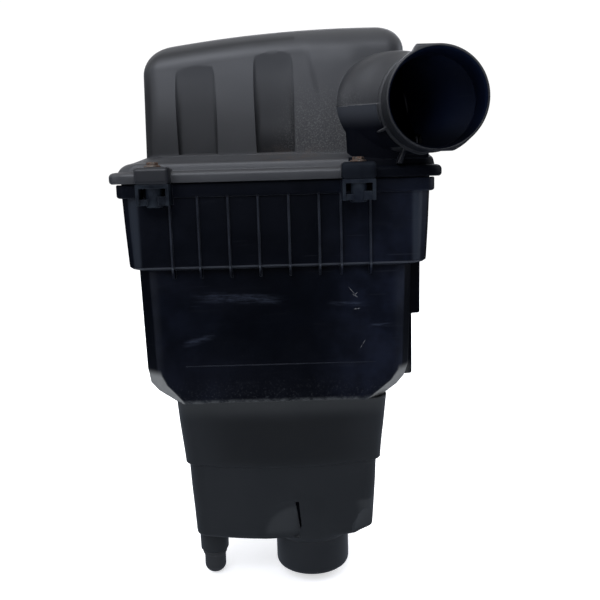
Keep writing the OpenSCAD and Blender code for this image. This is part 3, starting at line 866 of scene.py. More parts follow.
def build_sleeve(x):
    prof = [(4.25, -7.4), (4.7, -7.95), (5.6, -8.0), (6.0, -7.6), (6.0, 7.6), (5.6, 8.0), (4.7, 7.95), (4.25, 7.4)]
    rings = []
    n = 64
    a = np.arange(n) * 2 * PI / n
    for r, z in prof:
        rings.append(np.column_stack([x + r * np.cos(a), BUSH_Y + r * np.sin(a), np.full(n, BUSH_Z + z)]))
    return solid("sleeve", loft(rings, closed=True))

# ---------------------------------------------------------------- materials
def nt(mat):
    mat.use_nodes = True
    t = mat.node_tree
    t.nodes.clear()
    return t


class G:
    """small helper round a node tree"""

    def __init__(self, mat):
        self.t = nt(mat)
        self.out = self.t.nodes.new("ShaderNodeOutputMaterial")
        self.co = self.t.nodes.new("ShaderNodeTexCoord").outputs["Object"]

    def n(self, kind, **kw):
        node = self.t.nodes.new(kind)
        for k, v in kw.items():
            setattr(node, k, v)
        return node

    def link(self, a, b):
        self.t.links.new(a, b)

    def put(self, node, **vals):
        for k, v in vals.items():
            s = node.inputs[k.replace("_", " ")] if not k.startswith("i") or not k[1:].isdigit() else node.inputs[int(k[1:])]
            if hasattr(v, "is_output"):
                self.link(v, s)
            else:
                s.default_value = v
        return node

    def mapping(self, scale, rot=(0, 0, 0), loc=(0, 0, 0)):
        m = self.n("ShaderNodeMapping")
        self.link(self.co, m.inputs["Vector"])
        m.inputs["Scale"].default_value = scale
        m.inputs["Rotation"].default_value = rot
        m.inputs["Location"].default_value = loc
        return m.outputs["Vector"]

    def noise(self, scale, detail=3.0, rough=0.55, vec=None, dist=0.0):
        m = self.n("ShaderNodeTexNoise")
        self.link(vec or self.co, m.inputs["Vector"])
        m.inputs["Scale"].default_value = scale
        m.inputs["Detail"].default_value = detail
        m.inputs["Roughness"].default_value = rough
        m.inputs["Distortion"].default_value = dist
        return m.outputs["Fac"]

    def voronoi(self, scale, vec=None, feature="F1", out="Distance"):
        m = self.n("ShaderNodeTexVoronoi", feature=feature)
        self.link(vec or self.co, m.inputs["Vector"])
        m.inputs["Scale"].default_value = scale
        return m.outputs[out]

    def ramp(self, v, a, b, lo=0.0, hi=1.0, kind="SMOOTHSTEP"):
        m = self.n("ShaderNodeMapRange", interpolation_type=kind)
        self.link(v, m.inputs["Value"])
        m.inputs["From Min"].default_value = a
        m.inputs["From Max"].default_value = b
        m.inputs["To Min"].default_value = lo
        m.inputs["To Max"].default_value = hi
        return m.outputs["Result"]

    def math(self, op, a, b=0.0, c=0.0):
        m = self.n("ShaderNodeMath", operation=op)
        for i, v in enumerate((a, b, c)):
            if hasattr(v, "is_output"):
                self.link(v, m.inputs[i])
            else:
                m.inputs[i].default_value = v
        return m.outputs[0]

    def mix(self, fac, a, b):
        m = self.n("ShaderNodeMix", data_type="RGBA")
        for s, v in ((m.inputs[0], fac), (m.inputs[6], a), (m.inputs[7], b)):
            if hasattr(v, "is_output"):
                self.link(v, s)
            else:
                s.default_value = v if not isinstance(v, tuple) else (*v, 1.0)[:4]
        return m.outputs[2]

    def xyz(self):
        s = self.n("ShaderNodeSeparateXYZ")
        self.link(self.co, s.inputs[0])
        return s.outputs

    def edge(self, radius, lo=0.02, hi=0.35):
        """1 on outside and inside edges, 0 on flats; and the rounded normal"""
        b = self.n("ShaderNodeBevel", samples=6)
        b.inputs["Radius"].default_value = radius
        g = self.n("ShaderNodeNewGeometry")
        d = self.n("ShaderNodeVectorMath", operation="DOT_PRODUCT")
        self.link(b.outputs[0], d.inputs[0])
        self.link(g.outputs["Normal"], d.inputs[1])
        e = self.ramp(self.math("SUBTRACT", 1.0, d.outputs["Value"]), lo, hi)
        return e, b.outputs[0]

    def up(self):
        g = self.n("ShaderNodeNewGeometry")
        s = self.n("ShaderNodeSeparateXYZ")
        self.link(g.outputs["Normal"], s.inputs[0])
        return s.outputs["Z"]

    def bump(self, height, strength, distance, normal=None):
        m = self.n("ShaderNodeBump")
        m.inputs["Strength"].default_value = strength
        m.inputs["Distance"].default_value = distance
        self.link(height, m.inputs["Height"])
        if normal is not None:
            self.link(normal, m.inputs["Normal"])
        return m.outputs[0]


def plastic(name, base, light, dust_col, rough=(0.38, 0.52), spec=0.5, cloud=0.5, dust=0.35, scratch=0.3, edge=0.5, grain=0.10, bevel=0.0007, edge_col=None, seed=0.0, coat=0.0, extra=None, dull=None):
    mat = bpy.data.materials.new(name)
    g = G(mat)
    b = g.n("ShaderNodeBsdfPrincipled")
    # slow clouds of handling and dust
    m1 = g.mapping((1, 1, 1), (0, 0, 0), (seed, seed * 1.7, seed * 0.3))
    clouds = g.noise(11.0, 4.0, 0.6, m1, 0.6)
    c1 = g.ramp(clouds, 0.38, 0.70)
    col = g.mix(g.math("MULTIPLY", c1, cloud), base, light)
    # smears
    m2 = g.mapping((5, 5, 38), (0.2, 0.12, 0.1), (seed * 2.1, 0, seed))
    sm = g.ramp(g.noise(2.3, 5.0, 0.7, m2, 0.9), 0.56, 0.80)
    col = g.mix(g.math("MULTIPLY", sm, dust * 0.30), col, dust_col)
    # fine dust, more of it on faces that look up
    fine = g.noise(420.0, 3.0, 0.75, g.mapping((1, 1, 1), (0, 0, 0), (seed, 3, 1)))
    speck = g.ramp(fine, 0.62, 0.78)
    upz = g.ramp(g.up(), 0.05, 0.95)
    cover = g.math("ADD", g.math("MULTIPLY", upz, 0.65 * dust), g.math("MULTIPLY", g.math("MULTIPLY", speck, c1), dust * 0.7))
    col = g.mix(g.math("MINIMUM", cover, 0.85), col, dust_col)
    # hairline scratches in three directions
    lines = None
    for k, (rx, ry, rz, sc) in enumerate(((0.3, 0.4, 0.1, 1.0), (-0.5, -0.9, 0.3, 1.3), (0.1, 1.25, 0.7, 0.8))):
        mv = g.mapping((14 * sc, 14 * sc, 900 * sc), (rx, ry, rz), (seed + k, 2.0 * k, seed * 3))
        w = g.ramp(g.noise(1.0, 1.0, 0.4, mv), 0.735, 0.765)
        gate = g.ramp(g.noise(9.0 + 4 * k, 2.0, 0.5, g.mapping((1, 1, 1), (0, 0, 0), (k * 5.1 + seed, 0, 0))), 0.56, 0.68)
        w = g.math("MULTIPLY", w, gate)
        lines = w if lines is None else g.math("MAXIMUM", lines, w)
    col = g.mix(g.math("MULTIPLY", lines, scratch), col, dust_col)
    # worn and dusty edges; on the housing, with its strong pale edge tone, they are also painted highlights
    e, bn = g.edge(bevel)
    edge_wear_and_highlight = g.math("MULTIPLY", e, g.ramp(g.noise(70.0, 3.0, 0.6), 0.30, 0.62, 0.35, 1.0))
    col = g.mix(g.math("MULTIPLY", edge_wear_and_highlight, edge), col, edge_col or dust_col)
    if extra:
        col = extra(g, col)
    g.link(col, b.inputs["Base Color"])
    # gloss
    r = g.ramp(clouds, 0.3, 0.75, rough[0], rough[1])
    r = g.math("ADD", r, g.math("MULTIPLY", speck, 0.10))
    r = g.math("ADD", r, g.math("MULTIPLY", sm, 0.08))
    r = g.math("ADD", r, g.math("MULTIPLY", upz, 0.06))
    if dull:
        # dull where dirt sits
        m = dull(g)
        r = g.math("ADD", g.math("MULTIPLY", r, g.math("SUBTRACT", 1.0, m)), g.math("MULTIPLY", m, 0.94))
    r = g.math("MINIMUM", r, 0.95)
    g.link(r, b.inputs["Roughness"])
    b.inputs["Specular IOR Level"].default_value = spec
    b.inputs["IOR"].default_value = 1.5
    # moulded grain and slow unevenness
    h1 = g.noise(1500.0, 2.0, 0.6)
    h2 = g.voronoi(900.0)
    hh = g.math("ADD", g.math("MULTIPLY", h1, 0.6), g.math("MULTIPLY", h2, 0.4))
    nrm = g.bump(hh, grain, 0.00012, bn)
    nrm = g.bump(g.noise(24.0, 2.0, 0.5), 0.10, 0.004, nrm)
    nrm = g.bump(lines, 0.12, 0.00005, nrm)
    g.link(nrm, b.inputs["Normal"])
    g.link(b.outputs[0], g.out.inputs["Surface"])
    return mat


def simple(name, build):
    mat = bpy.data.materials.new(name)
    g = G(mat)
    b = g.n("ShaderNodeBsdfPrincipled")
    build(g, b)
    g.link(b.outputs[0], g.out.inputs["Surface"])
    return mat


def m_paper():
    def f(g, b):
        fib = g.noise(600.0, 4.0, 0.7, g.mapping((1, 0.25, 1)))
        col = g.mix(g.ramp(fib, 0.35, 0.7), (0.72, 0.62, 0.38), (0.86, 0.78, 0.54))
        col = g.mix(g.ramp(g.noise(35.0, 4.0, 0.6), 0.5, 0.75, 0.0, 0.45), col, (0.42, 0.36, 0.25))
        g.link(col, b.inputs["Base Color"])
        b.inputs["Roughness"].default_value = 0.9
        g.link(g.bump(fib, 0.35, 0.0002), b.inputs["Normal"])
    return simple("filter_paper_pleated", f)


def m_seal():
    def f(g, b):
        n = g.noise(300.0, 3.0, 0.6)
        col = g.mix(g.ramp(n, 0.3, 0.75), (0.018, 0.018, 0.020), (0.040, 0.040, 0.042))
        e, bn = g.edge(0.0008)
        col = g.mix(g.math("MULTIPLY", e, 0.3), col, (0.10, 0.10, 0.10))
        g.link(col, b.inputs["Base Color"])
        g.link(g.ramp(n, 0.3, 0.7, 0.55, 0.75), b.inputs["Roughness"])
        g.link(g.bump(n, 0.25, 0.0002, bn), b.inputs["Normal"])
    return simple("seal_polyurethane", f)


def m_hot():
    def f(g, b):
        n = g.noise(90.0, 3.0, 0.5)
        col = g.mix(g.ramp(n, 0.3, 0.7), (0.74, 0.70, 0.56), (0.86, 0.83, 0.72))
        g.link(col, b.inputs["Base Color"])
        g.link(g.ramp(n, 0.3, 0.7, 0.25, 0.42), b.inputs["Roughness"])
        b.inputs["Subsurface Weight"].default_value = 0.25
        b.inputs["Subsurface Radius"].default_value = (0.002, 0.0015, 0.001)
        g.link(g.bump(n, 0.3, 0.0004), b.inputs["Normal"])
    return simple("hot_melt_bead", f)


def m_screw():
    mat = bpy.data.materials.new("screw_rusty_zinc")
    g = G(mat)
    b = g.n("ShaderNodeBsdfPrincipled")
    n1 = g.noise(260.0, 5.0, 0.7)
    n2 = g.noise(900.0, 3.0, 0.6)
    rust = g.ramp(n1, 0.34, 0.56)
    z = g.xyz()["Z"]
    head = g.ramp(z, 0.345, 0.349)
    rust = g.math("MULTIPLY", rust, g.math("ADD", g.math("MULTIPLY", head, 0.85), 0.15))
    zinc = g.mix(g.ramp(n2, 0.35, 0.7), (0.11, 0.098, 0.086), (0.20, 0.18, 0.155))
    rc = g.mix(g.ramp(n2, 0.35, 0.7), (0.046, 0.024, 0.015), (0.105, 0.058, 0.036))
    col = g.mix(rust, zinc, rc)
    e, bn = g.edge(0.0002)
    col = g.mix(g.math("MULTIPLY", e, 0.25), col, (0.16, 0.12, 0.09))
    g.link(col, b.inputs["Base Color"])
    g.link(g.math("SUBTRACT", 1.0, rust), b.inputs["Metallic"])
    g.link(g.ramp(rust, 0.0, 1.0, 0.38, 0.85), b.inputs["Roughness"])
    g.link(g.bump(g.math("ADD", n1, n2), 0.5, 0.00015, bn), b.inputs["Normal"])
    g.link(b.outputs[0], g.out.inputs["Surface"])
    return mat


def m_brass():
    def f(g, b):
        n = g.noise(500.0, 3.0, 0.6)
        col = g.mix(g.ramp(n, 0.3, 0.7), (0.52, 0.36, 0.13), (0.72, 0.54, 0.24))
        g.link(col, b.inputs["Base Color"])
        b.inputs["Metallic"].default_value = 1.0
        g.link(g.ramp(n, 0.3, 0.7, 0.28, 0.45), b.inputs["Roughness"])
        g.link(g.bump(n, 0.2, 0.0001), b.inputs["Normal"])
    return simple("insert_turned_brass", f)


def m_rubber(name, lo, hi, rough):
    def f(g, b):
        n = g.noise(700.0, 3.0, 0.6)
        c = g.noise(60.0, 3.0, 0.6)
        e, bn = g.edge(0.0005)
        col = g.mix(g.ramp(c, 0.35, 0.7), lo, hi)
        col = g.mix(g.math("MULTIPLY", e, 0.35), col, tuple(v * 2.4 for v in hi))
        up = g.ramp(g.up(), 0.1, 0.95, 0.0, 0.35)
        col = g.mix(up, col, (0.11, 0.11, 0.105))
        g.link(col, b.inputs["Base Color"])
        g.link(g.ramp(c, 0.3, 0.7, rough, rough + 0.15), b.inputs["Roughness"])
        g.link(g.bump(n, 0.15, 0.0001, bn), b.inputs["Normal"])
    return simple(name, f)


def m_steel():
    def f(g, b):
        n = g.noise(700.0, 3.0, 0.6, g.mapping((1, 1, 0.1)))
        col = g.mix(g.ramp(n, 0.3, 0.7), (0.42, 0.42, 0.43), (0.60, 0.60, 0.58))
        g.link(col, b.inputs["Base Color"])
        b.inputs["Metallic"].default_value = 1.0
        g.link(g.ramp(n, 0.3, 0.7, 0.25, 0.42), b.inputs["Roughness"])
        g.link(g.bump(n, 0.15, 0.0001), b.inputs["Normal"])
    return simple("sleeve_zinc_steel", f)

# ---------------------------------------------------------------- materials in use
def recess_sides(g, x):
    """strips just inside the upright edges of the two sunk panels"""
    out = None
    for a, b in ((-0.0030, -0.0078), (0.0180, 0.0216), (0.0585, 0.0545), (0.0780, 0.0818)):
        m = g.ramp(x, a, b)
        m = g.math("MULTIPLY", m, g.ramp(x, 0.040, 0.036) if b < 0.03 else g.ramp(x, 0.036, 0.040))
        out = m if out is None else g.math("MAXIMUM", out, m)
    return out


def lid_dull(g):
    x, y, z = g.xyz()["X"], g.xyz()["Y"], g.xyz()["Z"]
    mul = lambda a, b: g.math("MULTIPLY", a, b)
    plane = mul(g.math("SUBTRACT", z, 0.358), 0.0846)
    depth = g.math("SUBTRACT", g.math("ADD", y, 0.0339), plane)
    rec = mul(mul(g.ramp(depth, 0.0009, 0.0034), g.ramp(x, 0.086, 0.084)), mul(g.ramp(y, -0.020, -0.024), g.ramp(z, 0.358, 0.361)))
    low = g.math("MAXIMUM", mul(g.ramp(z, 0.392, 0.362), g.ramp(x, -0.012, 0.060, 0.15, 0.95)), mul(recess_sides(g, x), g.ramp(z, 0.440, 0.400, 0.0, 0.75)))
    wall = mul(mul(g.ramp(z, 0.410, 0.366), g.ramp(x, -0.030, 0.055, 0.55, 0.25)), mul(g.ramp(y, -0.020, -0.034), g.ramp(z, 0.357, 0.362)))
    return g.math("MAXIMUM", mul(rec, low), mul(wall, g.ramp(x, 0.150, 0.120)))


def lid_extra(g, col):
    x, y, z = g.xyz()["X"], g.xyz()["Y"], g.xyz()["Z"]
    mul = lambda a, b: g.math("MULTIPLY", a, b)
    # painted shade: the front wall darker low down, lighter towards the top
    wave = mul(g.math("SUBTRACT", g.noise(14.0, 3.0, 0.6), 0.5), 0.030)
    fade = g.ramp(g.math("ADD", z, wave), 0.354, 0.456, 1.0, 0.0)
    front = g.ramp(y, -0.020, -0.034)
    col = g.mix(mul(mul(fade, front), mul(g.ramp(z, 0.357, 0.362), 0.88)), col, (0.0030, 0.0036, 0.0052))
    # painted shade: darker low down, most of all at the left
    shade = mul(g.ramp(z, 0.425, 0.372), g.ramp(x, -0.032, 0.080, 0.62, 0.22))
    col = g.mix(mul(mul(shade, front), g.ramp(z, 0.357, 0.362)), col, (0.0016, 0.0020, 0.0032))
    # painted shade in the sunk panels: darker overall, darkest at their foot and in strips along their upright sides
    plane = mul(g.math("SUBTRACT", z, 0.358), 0.0846)
    depth = g.math("SUBTRACT", g.math("ADD", y, 0.0339), plane)
    rec = mul(mul(g.ramp(depth, 0.0009, 0.0034), g.ramp(x, 0.086, 0.084)), mul(g.ramp(y, -0.020, -0.024), g.ramp(z, 0.358, 0.361)))
    col = g.mix(mul(rec, 0.62), col, (0.0040, 0.0047, 0.0062))
    foot = mul(mul(rec, g.ramp(z, 0.384, 0.362)), g.ramp(x, -0.012, 0.060, 0.25, 0.85))
    col = g.mix(foot, col, (0.0012, 0.0015, 0.0026))
    col = g.mix(mul(mul(rec, recess_sides(g, x)), mul(g.ramp(z, 0.436, 0.405), 0.75)), col, (0.0010, 0.0013, 0.0022))
    # painted shade on the underside of the neck and the wall below it
    low = mul(mul(g.ramp(x, 0.150, 0.158), g.ramp(z, 0.400, 0.384)), mul(g.ramp(y, -0.052, -0.056), g.ramp(z, 0.352, 0.357)))
    col = g.mix(mul(low, 0.62), col, (0.0050, 0.0062, 0.0090))
    # painted highlight: a thin light line along the neck's parting step
    painted_seam_highlight = mul(mul(g.ramp(z, 0.39230, 0.39265), g.ramp(z, 0.39370, 0.39335)), mul(g.ramp(y, -0.032, -0.036), g.ramp(x, 0.150, 0.145)))
    col = g.mix(mul(painted_seam_highlight, 0.75), col, (0.060, 0.062, 0.066))
    # painted shade on the flange's right front, under the spigot
    right = mul(g.ramp(x, 0.118, 0.140), mul(g.ramp(z, 0.362, 0.356), g.ramp(y, -0.024, -0.030, 0.0, 0.95)))
    col = g.mix(right, col, (0.0008, 0.0013, 0.0036))
    lug = g.ramp(y, -0.0505, -0.0530, 0.0, 0.85)
    col = g.mix(mul(mul(lug, g.ramp(z, 0.352, 0.349)), g.ramp(x, 0.160, 0.150)), col, (0.0022, 0.0030, 0.0058))
    # pale speckle low on the front wall and a brown stain on the flange
    near = mul(g.ramp(x, 0.060, 0.095), g.ramp(x, 0.150, 0.120))
    near = mul(near, mul(g.ramp(z, 0.350, 0.362), mul(g.ramp(z, 0.424, 0.376), g.ramp(y, -0.022, -0.028))))
    sp = g.ramp(g.noise(900.0, 2.0, 0.75), 0.47, 0.66)
    col = g.mix(mul(mul(near, sp), 0.40), col, (0.10, 0.10, 0.10))
    stain = mul(g.ramp(x, 0.040, 0.075), g.ramp(x, 0.115, 0.085))
    stain = mul(stain, mul(g.ramp(z, 0.349, 0.354), g.ramp(z, 0.368, 0.358)))
    st = g.ramp(g.noise(130.0, 4.0, 0.7), 0.42, 0.68)
    col = g.mix(mul(mul(stain, st), 0.55), col, (0.060, 0.045, 0.036))
    return col


def bore_extra(g, col):
    # painted shade: deeper, lower down and towards the left the bore is darker
    x, y, z = g.xyz()["X"], g.xyz()["Y"], g.xyz()["Z"]
    mul = lambda a, b: g.math("MULTIPLY", a, b)
    col = g.mix(mul(g.ramp(y, -0.060, -0.046), g.ramp(x, 0.165, 0.205, 0.88, 0.15)), col, (0.0004, 0.0007, 0.0020))
    col = g.mix(mul(g.ramp(x, 0.206, 0.176), mul(g.ramp(y, -0.080, -0.086), 0.60)), col, (0.0010, 0.0016, 0.0040))
    col = g.mix(mul(g.ramp(z, 0.382, 0.364), 0.88), col, (0.0004, 0.0008, 0.0020))
    return col


def under_extra(g, col):
    x, y, z = g.xyz()["X"], g.xyz()["Y"], g.xyz()["Z"]
    mul = lambda a, b: g.math("MULTIPLY", a, b)
    # the painted shade under the neck grows lighter upwards, towards the parting step
    near = mul(mul(g.ramp(z, 0.374, 0.3925), g.ramp(y, -0.026, -0.032)), g.ramp(x, 0.170, 0.150))
    col = g.mix(mul(near, 0.90), col, (0.027, 0.030, 0.036))
    lug = mul(g.ramp(y, -0.0560, -0.0600), g.ramp(z, 0.352, 0.349))
    mott = g.ramp(g.noise(70.0, 3.0, 0.6), 0.34, 0.64)
    mott = g.math("ADD", mul(mott, 0.30), g.ramp(z, 0.3420, 0.3498, 0.0, 0.45))
    col = g.mix(mul(lug, mott), col, (0.011, 0.014, 0.019))
    return col


def streak(g, x, z, cx, cz, half, thick, slope):
    """soft elongated mark on the front"""
    mul = lambda a, b: g.math("MULTIPLY", a, b)
    dx = g.math("SUBTRACT", x, cx)
    dz = g.math("ABSOLUTE", g.math("SUBTRACT", g.math("SUBTRACT", z, cz), mul(dx, slope)))
    return mul(g.ramp(g.math("ABSOLUTE", dx), half, half * 0.35), g.ramp(dz, thick, thick * 0.15))


def housing_extra(g, col):
    x, y, z = g.xyz()["X"], g.xyz()["Y"], g.xyz()["Z"]
    mul = lambda a, b: g.math("MULTIPLY", a, b)
    front = g.ramp(y, -0.029, -0.031)
    marks = None
    for cx, cz, half, thick, slope in ((0.034, 0.2440, 0.044, 0.0058, -0.06), (0.124, 0.2375, 0.020, 0.0026, -0.05), (0.0, 0.2100, 0.016, 0.0040, 0.30), (0.150, 0.2190, 0.014, 0.0022, 0.02)):
        m = streak(g, x, z, cx, cz, half, thick, slope)
        marks = m if marks is None else g.math("MAXIMUM", marks, m)
    broken = g.ramp(g.noise(1.0, 4.0, 0.75, g.mapping((60, 60, 420))), 0.36, 0.74)
    clouds = g.ramp(g.noise(30.0, 3.0, 0.6), 0.40, 0.66)
    out = g.ramp(g.math("ABSOLUTE", g.math("SUBTRACT", x, 0.066)), 0.020, 0.082, 0.15, 1.0)
    out = mul(out, g.math("ADD", g.ramp(x, -0.010, 0.130, 0.0, 0.60), g.ramp(z, 0.272, 0.262, 0.18, 0.42)))
    col = g.mix(mul(mul(out, g.math("ADD", mul(clouds, 0.6), 0.4)), mul(front, 0.90)), col, (0.0046, 0.0068, 0.0150))
    col = g.mix(mul(mul(marks, broken), mul(front, 0.50)), col, (0.030, 0.038, 0.060))
    # small bright nicks
    nick = None
    for cx, cz, half, thick, slope in ((0.1260, 0.2480, 0.0030, 0.0005, -1.2), (0.1285, 0.2440, 0.0026, 0.0006, -0.6), (0.1300, 0.2330, 0.0030, 0.0005, 0.1), (0.1345, 0.2035, 0.0026, 0.0005, 1.6), (0.1290, 0.2450, 0.0020, 0.0005, 0.9)):
        m = streak(g, x, z, cx, cz, half, thick, slope)
        nick = m if nick is None else g.math("MAXIMUM", nick, m)
    col = g.mix(mul(mul(nick, front), g.ramp(g.noise(420.0, 2.0, 0.6), 0.34, 0.56, 0.2, 0.8)), col, (0.14, 0.145, 0.155))
    # pale dust just above the lower chamber
    dusty = mul(g.ramp(z, 0.182, 0.158), front)
    grit = g.ramp(g.noise(520.0, 3.0, 0.75), 0.54, 0.72)
    col = g.mix(mul(mul(dusty, grit), 0.36), col, (0.050, 0.054, 0.062))
    col = g.mix(mul(mul(g.ramp(z, 0.1600, 0.1562), front), g.ramp(g.noise(160.0, 3.0, 0.7), 0.30, 0.62, 0.15, 0.9)), col, (0.045, 0.049, 0.053))
    # painted highlights: paler bands on the upright corners and on the last facets above the lower chamber
    side = g.math("MAXIMUM", g.ramp(x, -0.028, -0.036), g.ramp(x, 0.158, 0.166))
    band = mul(side, mul(g.ramp(z, 0.2690, 0.2670), g.ramp(g.noise(22.0, 4.0, 0.65), 0.36, 0.66, 0.30, 1.0)))
    col = g.mix(mul(mul(band, front), 0.12), col, (0.045, 0.050, 0.062))
    # painted highlights: light upright lines at the front corners of the upper part, its ribs and its lower edge
    upper = mul(mul(g.ramp(z, 0.2715, 0.2735), g.ramp(z, 0.3280, 0.3265)), g.ramp(y, -0.0350, -0.0375))
    cor = g.math("MAXIMUM", g.ramp(x, -0.0400, -0.0432), g.ramp(x, 0.1722, 0.1762))
    col = g.mix(mul(mul(upper, cor), 0.36), col, (0.030, 0.037, 0.049))
    ribs = mul(mul(g.ramp(y, -0.0436, -0.0444), g.ramp(y, -0.0470, -0.0462)), g.ramp(z, 0.3270, 0.3255))
    col = g.mix(mul(ribs, g.ramp(g.noise(60.0, 3.0, 0.6), 0.30, 0.66, 0.35, 0.85)), col, (0.015, 0.018, 0.025))
    led = mul(mul(g.ramp(z, 0.2700, 0.2706), g.ramp(z, 0.2724, 0.2717)), g.ramp(y, -0.0345, -0.0365))
    col = g.mix(mul(led, 0.55), col, (0.046, 0.052, 0.064))
    # the lugs are dusty
    lug = mul(g.ramp(y, -0.0500, -0.0540), g.ramp(z, 0.342, 0.339))
    col = g.mix(mul(lug, g.ramp(g.noise(90.0, 3.0, 0.65), 0.30, 0.66, 0.15, 0.80)), col, (0.013, 0.017, 0.023))
    # painted highlight on the pale chamfer facets above the lower chamber
    painted_facet_highlight = mul(mul(g.ramp(z, 0.186, 0.178), g.ramp(y, -0.03275, -0.0318)), g.ramp(y, -0.0135, -0.0185))
    col = g.mix(mul(painted_facet_highlight, g.ramp(g.noise(90.0, 3.0, 0.6), 0.25, 0.65, 0.80, 1.0)), col, (0.125, 0.130, 0.131))
    line = mul(g.ramp(y, -0.03305, -0.03318), mul(g.ramp(z, 0.1895, 0.1890), g.ramp(z, 0.1868, 0.1873)))
    col = g.mix(mul(line, 0.60), col, (0.0060, 0.0080, 0.0140))
    return col


def chamber_extra(g, col):
    # painted light: paler just under the crease and in the two hollows beside the intake; the middle of the upper part
    # is darker
    x, y, z = g.xyz()["X"], g.xyz()["Y"], g.xyz()["Z"]
    mul = lambda a, b: g.math("MULTIPLY", a, b)
    crease = g.ramp(z, 0.138, 0.156)
    col = g.mix(mul(crease, 0.40), col, (0.030, 0.033, 0.034))
    scoop = mul(mul(g.ramp(x, 0.044, 0.052), g.ramp(x, 0.0790, 0.0775)), mul(mul(g.ramp(y, -0.0313, -0.0303), g.ramp(y, -0.012, -0.016)), mul(g.ramp(z, 0.0335, 0.040), g.ramp(z, 0.080, 0.074))))
    scoop = g.math("MAXIMUM", scoop, mul(mul(g.ramp(x, 0.118, 0.124), g.ramp(y, -0.0255, -0.0235)), mul(g.ramp(y, -0.010, -0.013), mul(g.ramp(z, 0.0335, 0.038), g.ramp(z, 0.064, 0.061)))))
    col = g.mix(mul(scoop, 0.55), col, (0.022, 0.025, 0.028))
    mid = mul(mul(g.ramp(z, 0.092, 0.108), g.ramp(z, 0.150, 0.136)), mul(g.ramp(x, -0.020, 0.030), g.ramp(x, 0.155, 0.110)))
    col = g.mix(mul(mid, 0.80), col, (0.0034, 0.0042, 0.0052))
    return col


M_LID = plastic("lid_moulded_plastic", (0.0205, 0.0220, 0.0255), (0.031, 0.033, 0.037), (0.105, 0.105, 0.107), rough=(0.38, 0.48), spec=0.5, cloud=0.6, dust=0.32, scratch=0.20, edge=0.32, grain=0.14, bevel=0.0009, edge_col=(0.085, 0.087, 0.09), seed=0.3, extra=lid_extra, dull=lid_dull)
# painted shade: a darkened copy of the lid's plastic, put on the spigot's bore, the inside of the neck and dome, and
# the chamber's slot
M_BORE_SHADE = plastic("bore_painted_shade_plastic", (0.0022, 0.0042, 0.0125), (0.0040, 0.0072, 0.0200), (0.020, 0.022, 0.030), rough=(0.50, 0.62), spec=0.045, cloud=0.6, dust=0.10, scratch=0.35, edge=0.20, grain=0.10, bevel=0.0005, edge_col=(0.010, 0.011, 0.016), seed=9.3, extra=bore_extra)
M_UNDER = plastic("lid_shaded_plastic", (0.0012, 0.0017, 0.0036), (0.0022, 0.0030, 0.0056), (0.030, 0.034, 0.044), rough=(0.46, 0.58), spec=0.035, cloud=0.6, dust=0.12, scratch=0.20, edge=0.60, grain=0.12, bevel=0.0009, edge_col=(0.042, 0.047, 0.058), seed=4.4, extra=under_extra)
# its strong pale edge tone is partly wear and partly painted highlight on the rounded edges
M_HOUSING = plastic("housing_moulded_plastic", (0.0004, 0.0008, 0.0020), (0.0014, 0.0022, 0.0052), (0.036, 0.041, 0.052), rough=(0.36, 0.50), spec=0.07, cloud=0.60, dust=0.24, scratch=0.30, edge=0.85, grain=0.08, bevel=0.0008, edge_col=(0.070, 0.078, 0.096), seed=2.7, extra=housing_extra)
# painted light: the lower chamber is the housing's plastic made lighter, for bounce light from the floor
M_CHAMBER = plastic("chamber_plastic_painted_lighter", (0.0068, 0.0084, 0.0104), (0.0100, 0.0118, 0.0142), (0.046, 0.050, 0.056), rough=(0.42, 0.52), spec=0.26, cloud=0.5, dust=0.16, scratch=0.15, edge=0.35, grain=0.12, bevel=0.0009, edge_col=(0.046, 0.050, 0.056), seed=5.1, extra=chamber_extra)
M_TUBE = plastic("tube_moulded_plastic", (0.0068, 0.0082, 0.0102), (0.0100, 0.0116, 0.0140), (0.046, 0.050, 0.056), rough=(0.42, 0.52), spec=0.26, cloud=0.5, dust=0.16, scratch=0.15, edge=0.35, grain=0.12, bevel=0.0006, edge_col=(0.046, 0.050, 0.056), seed=7.4)
M_CAP = m_rubber("cap_rubber", (0.0060, 0.0070, 0.0088), (0.0100, 0.0112, 0.0132), 0.55)
M_BUSH = m_rubber("bush_rubber", (0.010, 0.010, 0.010), (0.020, 0.020, 0.020), 0.62)

# ---------------------------------------------------------------- pieces


NECK_AT = [(q[1], q[0], q[2], q[3]) for q in bez(NECK, 7)][::-1]


def neck_gap(x, y, z):
    """distance outside the neck's round wall, and the way from its centre line"""
    ys = [q[0] for q in NECK_AT]
    cx, cz, r = (float(np.interp(y, ys, [q[k] for q in NECK_AT])) for k in (1, 2, 3))
    d = math.hypot(x - cx, z - cz)
    return d - r, (x - cx) / max(d, 1e-6), (z - cz) / max(d, 1e-6)


def in_bore(x, y, z, n):
    # faces that take the painted shade: the spigot's bore, the neck's inside and the inside of the dome
    if y <= -2.8:
        return y > -33.2 and math.hypot(x - OUT[0], z - OUT[1]) < 35.6
    gap, dx, dz = neck_gap(x, y, z)
    if y < 50 and x > 40 and (gap < -1.6 or gap < 1.5 and n.x * dx + n.z * dz < -0.3) and not (x > 104 and n.x > 0.2 and dx > 0):
        return True
    if 18.6 < y <= 24 and n.y > 0.3 and z > 17.5 and x < 118:
        return True
    if 17 < y < 27 and abs(n.x) > 0.4 and z > 17.5 and min(abs(x - k) for k in (-80.0, -38.0, -18.4, 23.5)) < 1.6:
        return True
    if abs(x - 67.5) < 1.5 and n.x > 0.4 and 10.5 < y < 31 and 5 < z < 34:
        return True
    return y > 24 and z > 17.5 and n.x * (10 - x) + n.y * (95 - y) + n.z * (45 - z) > 0


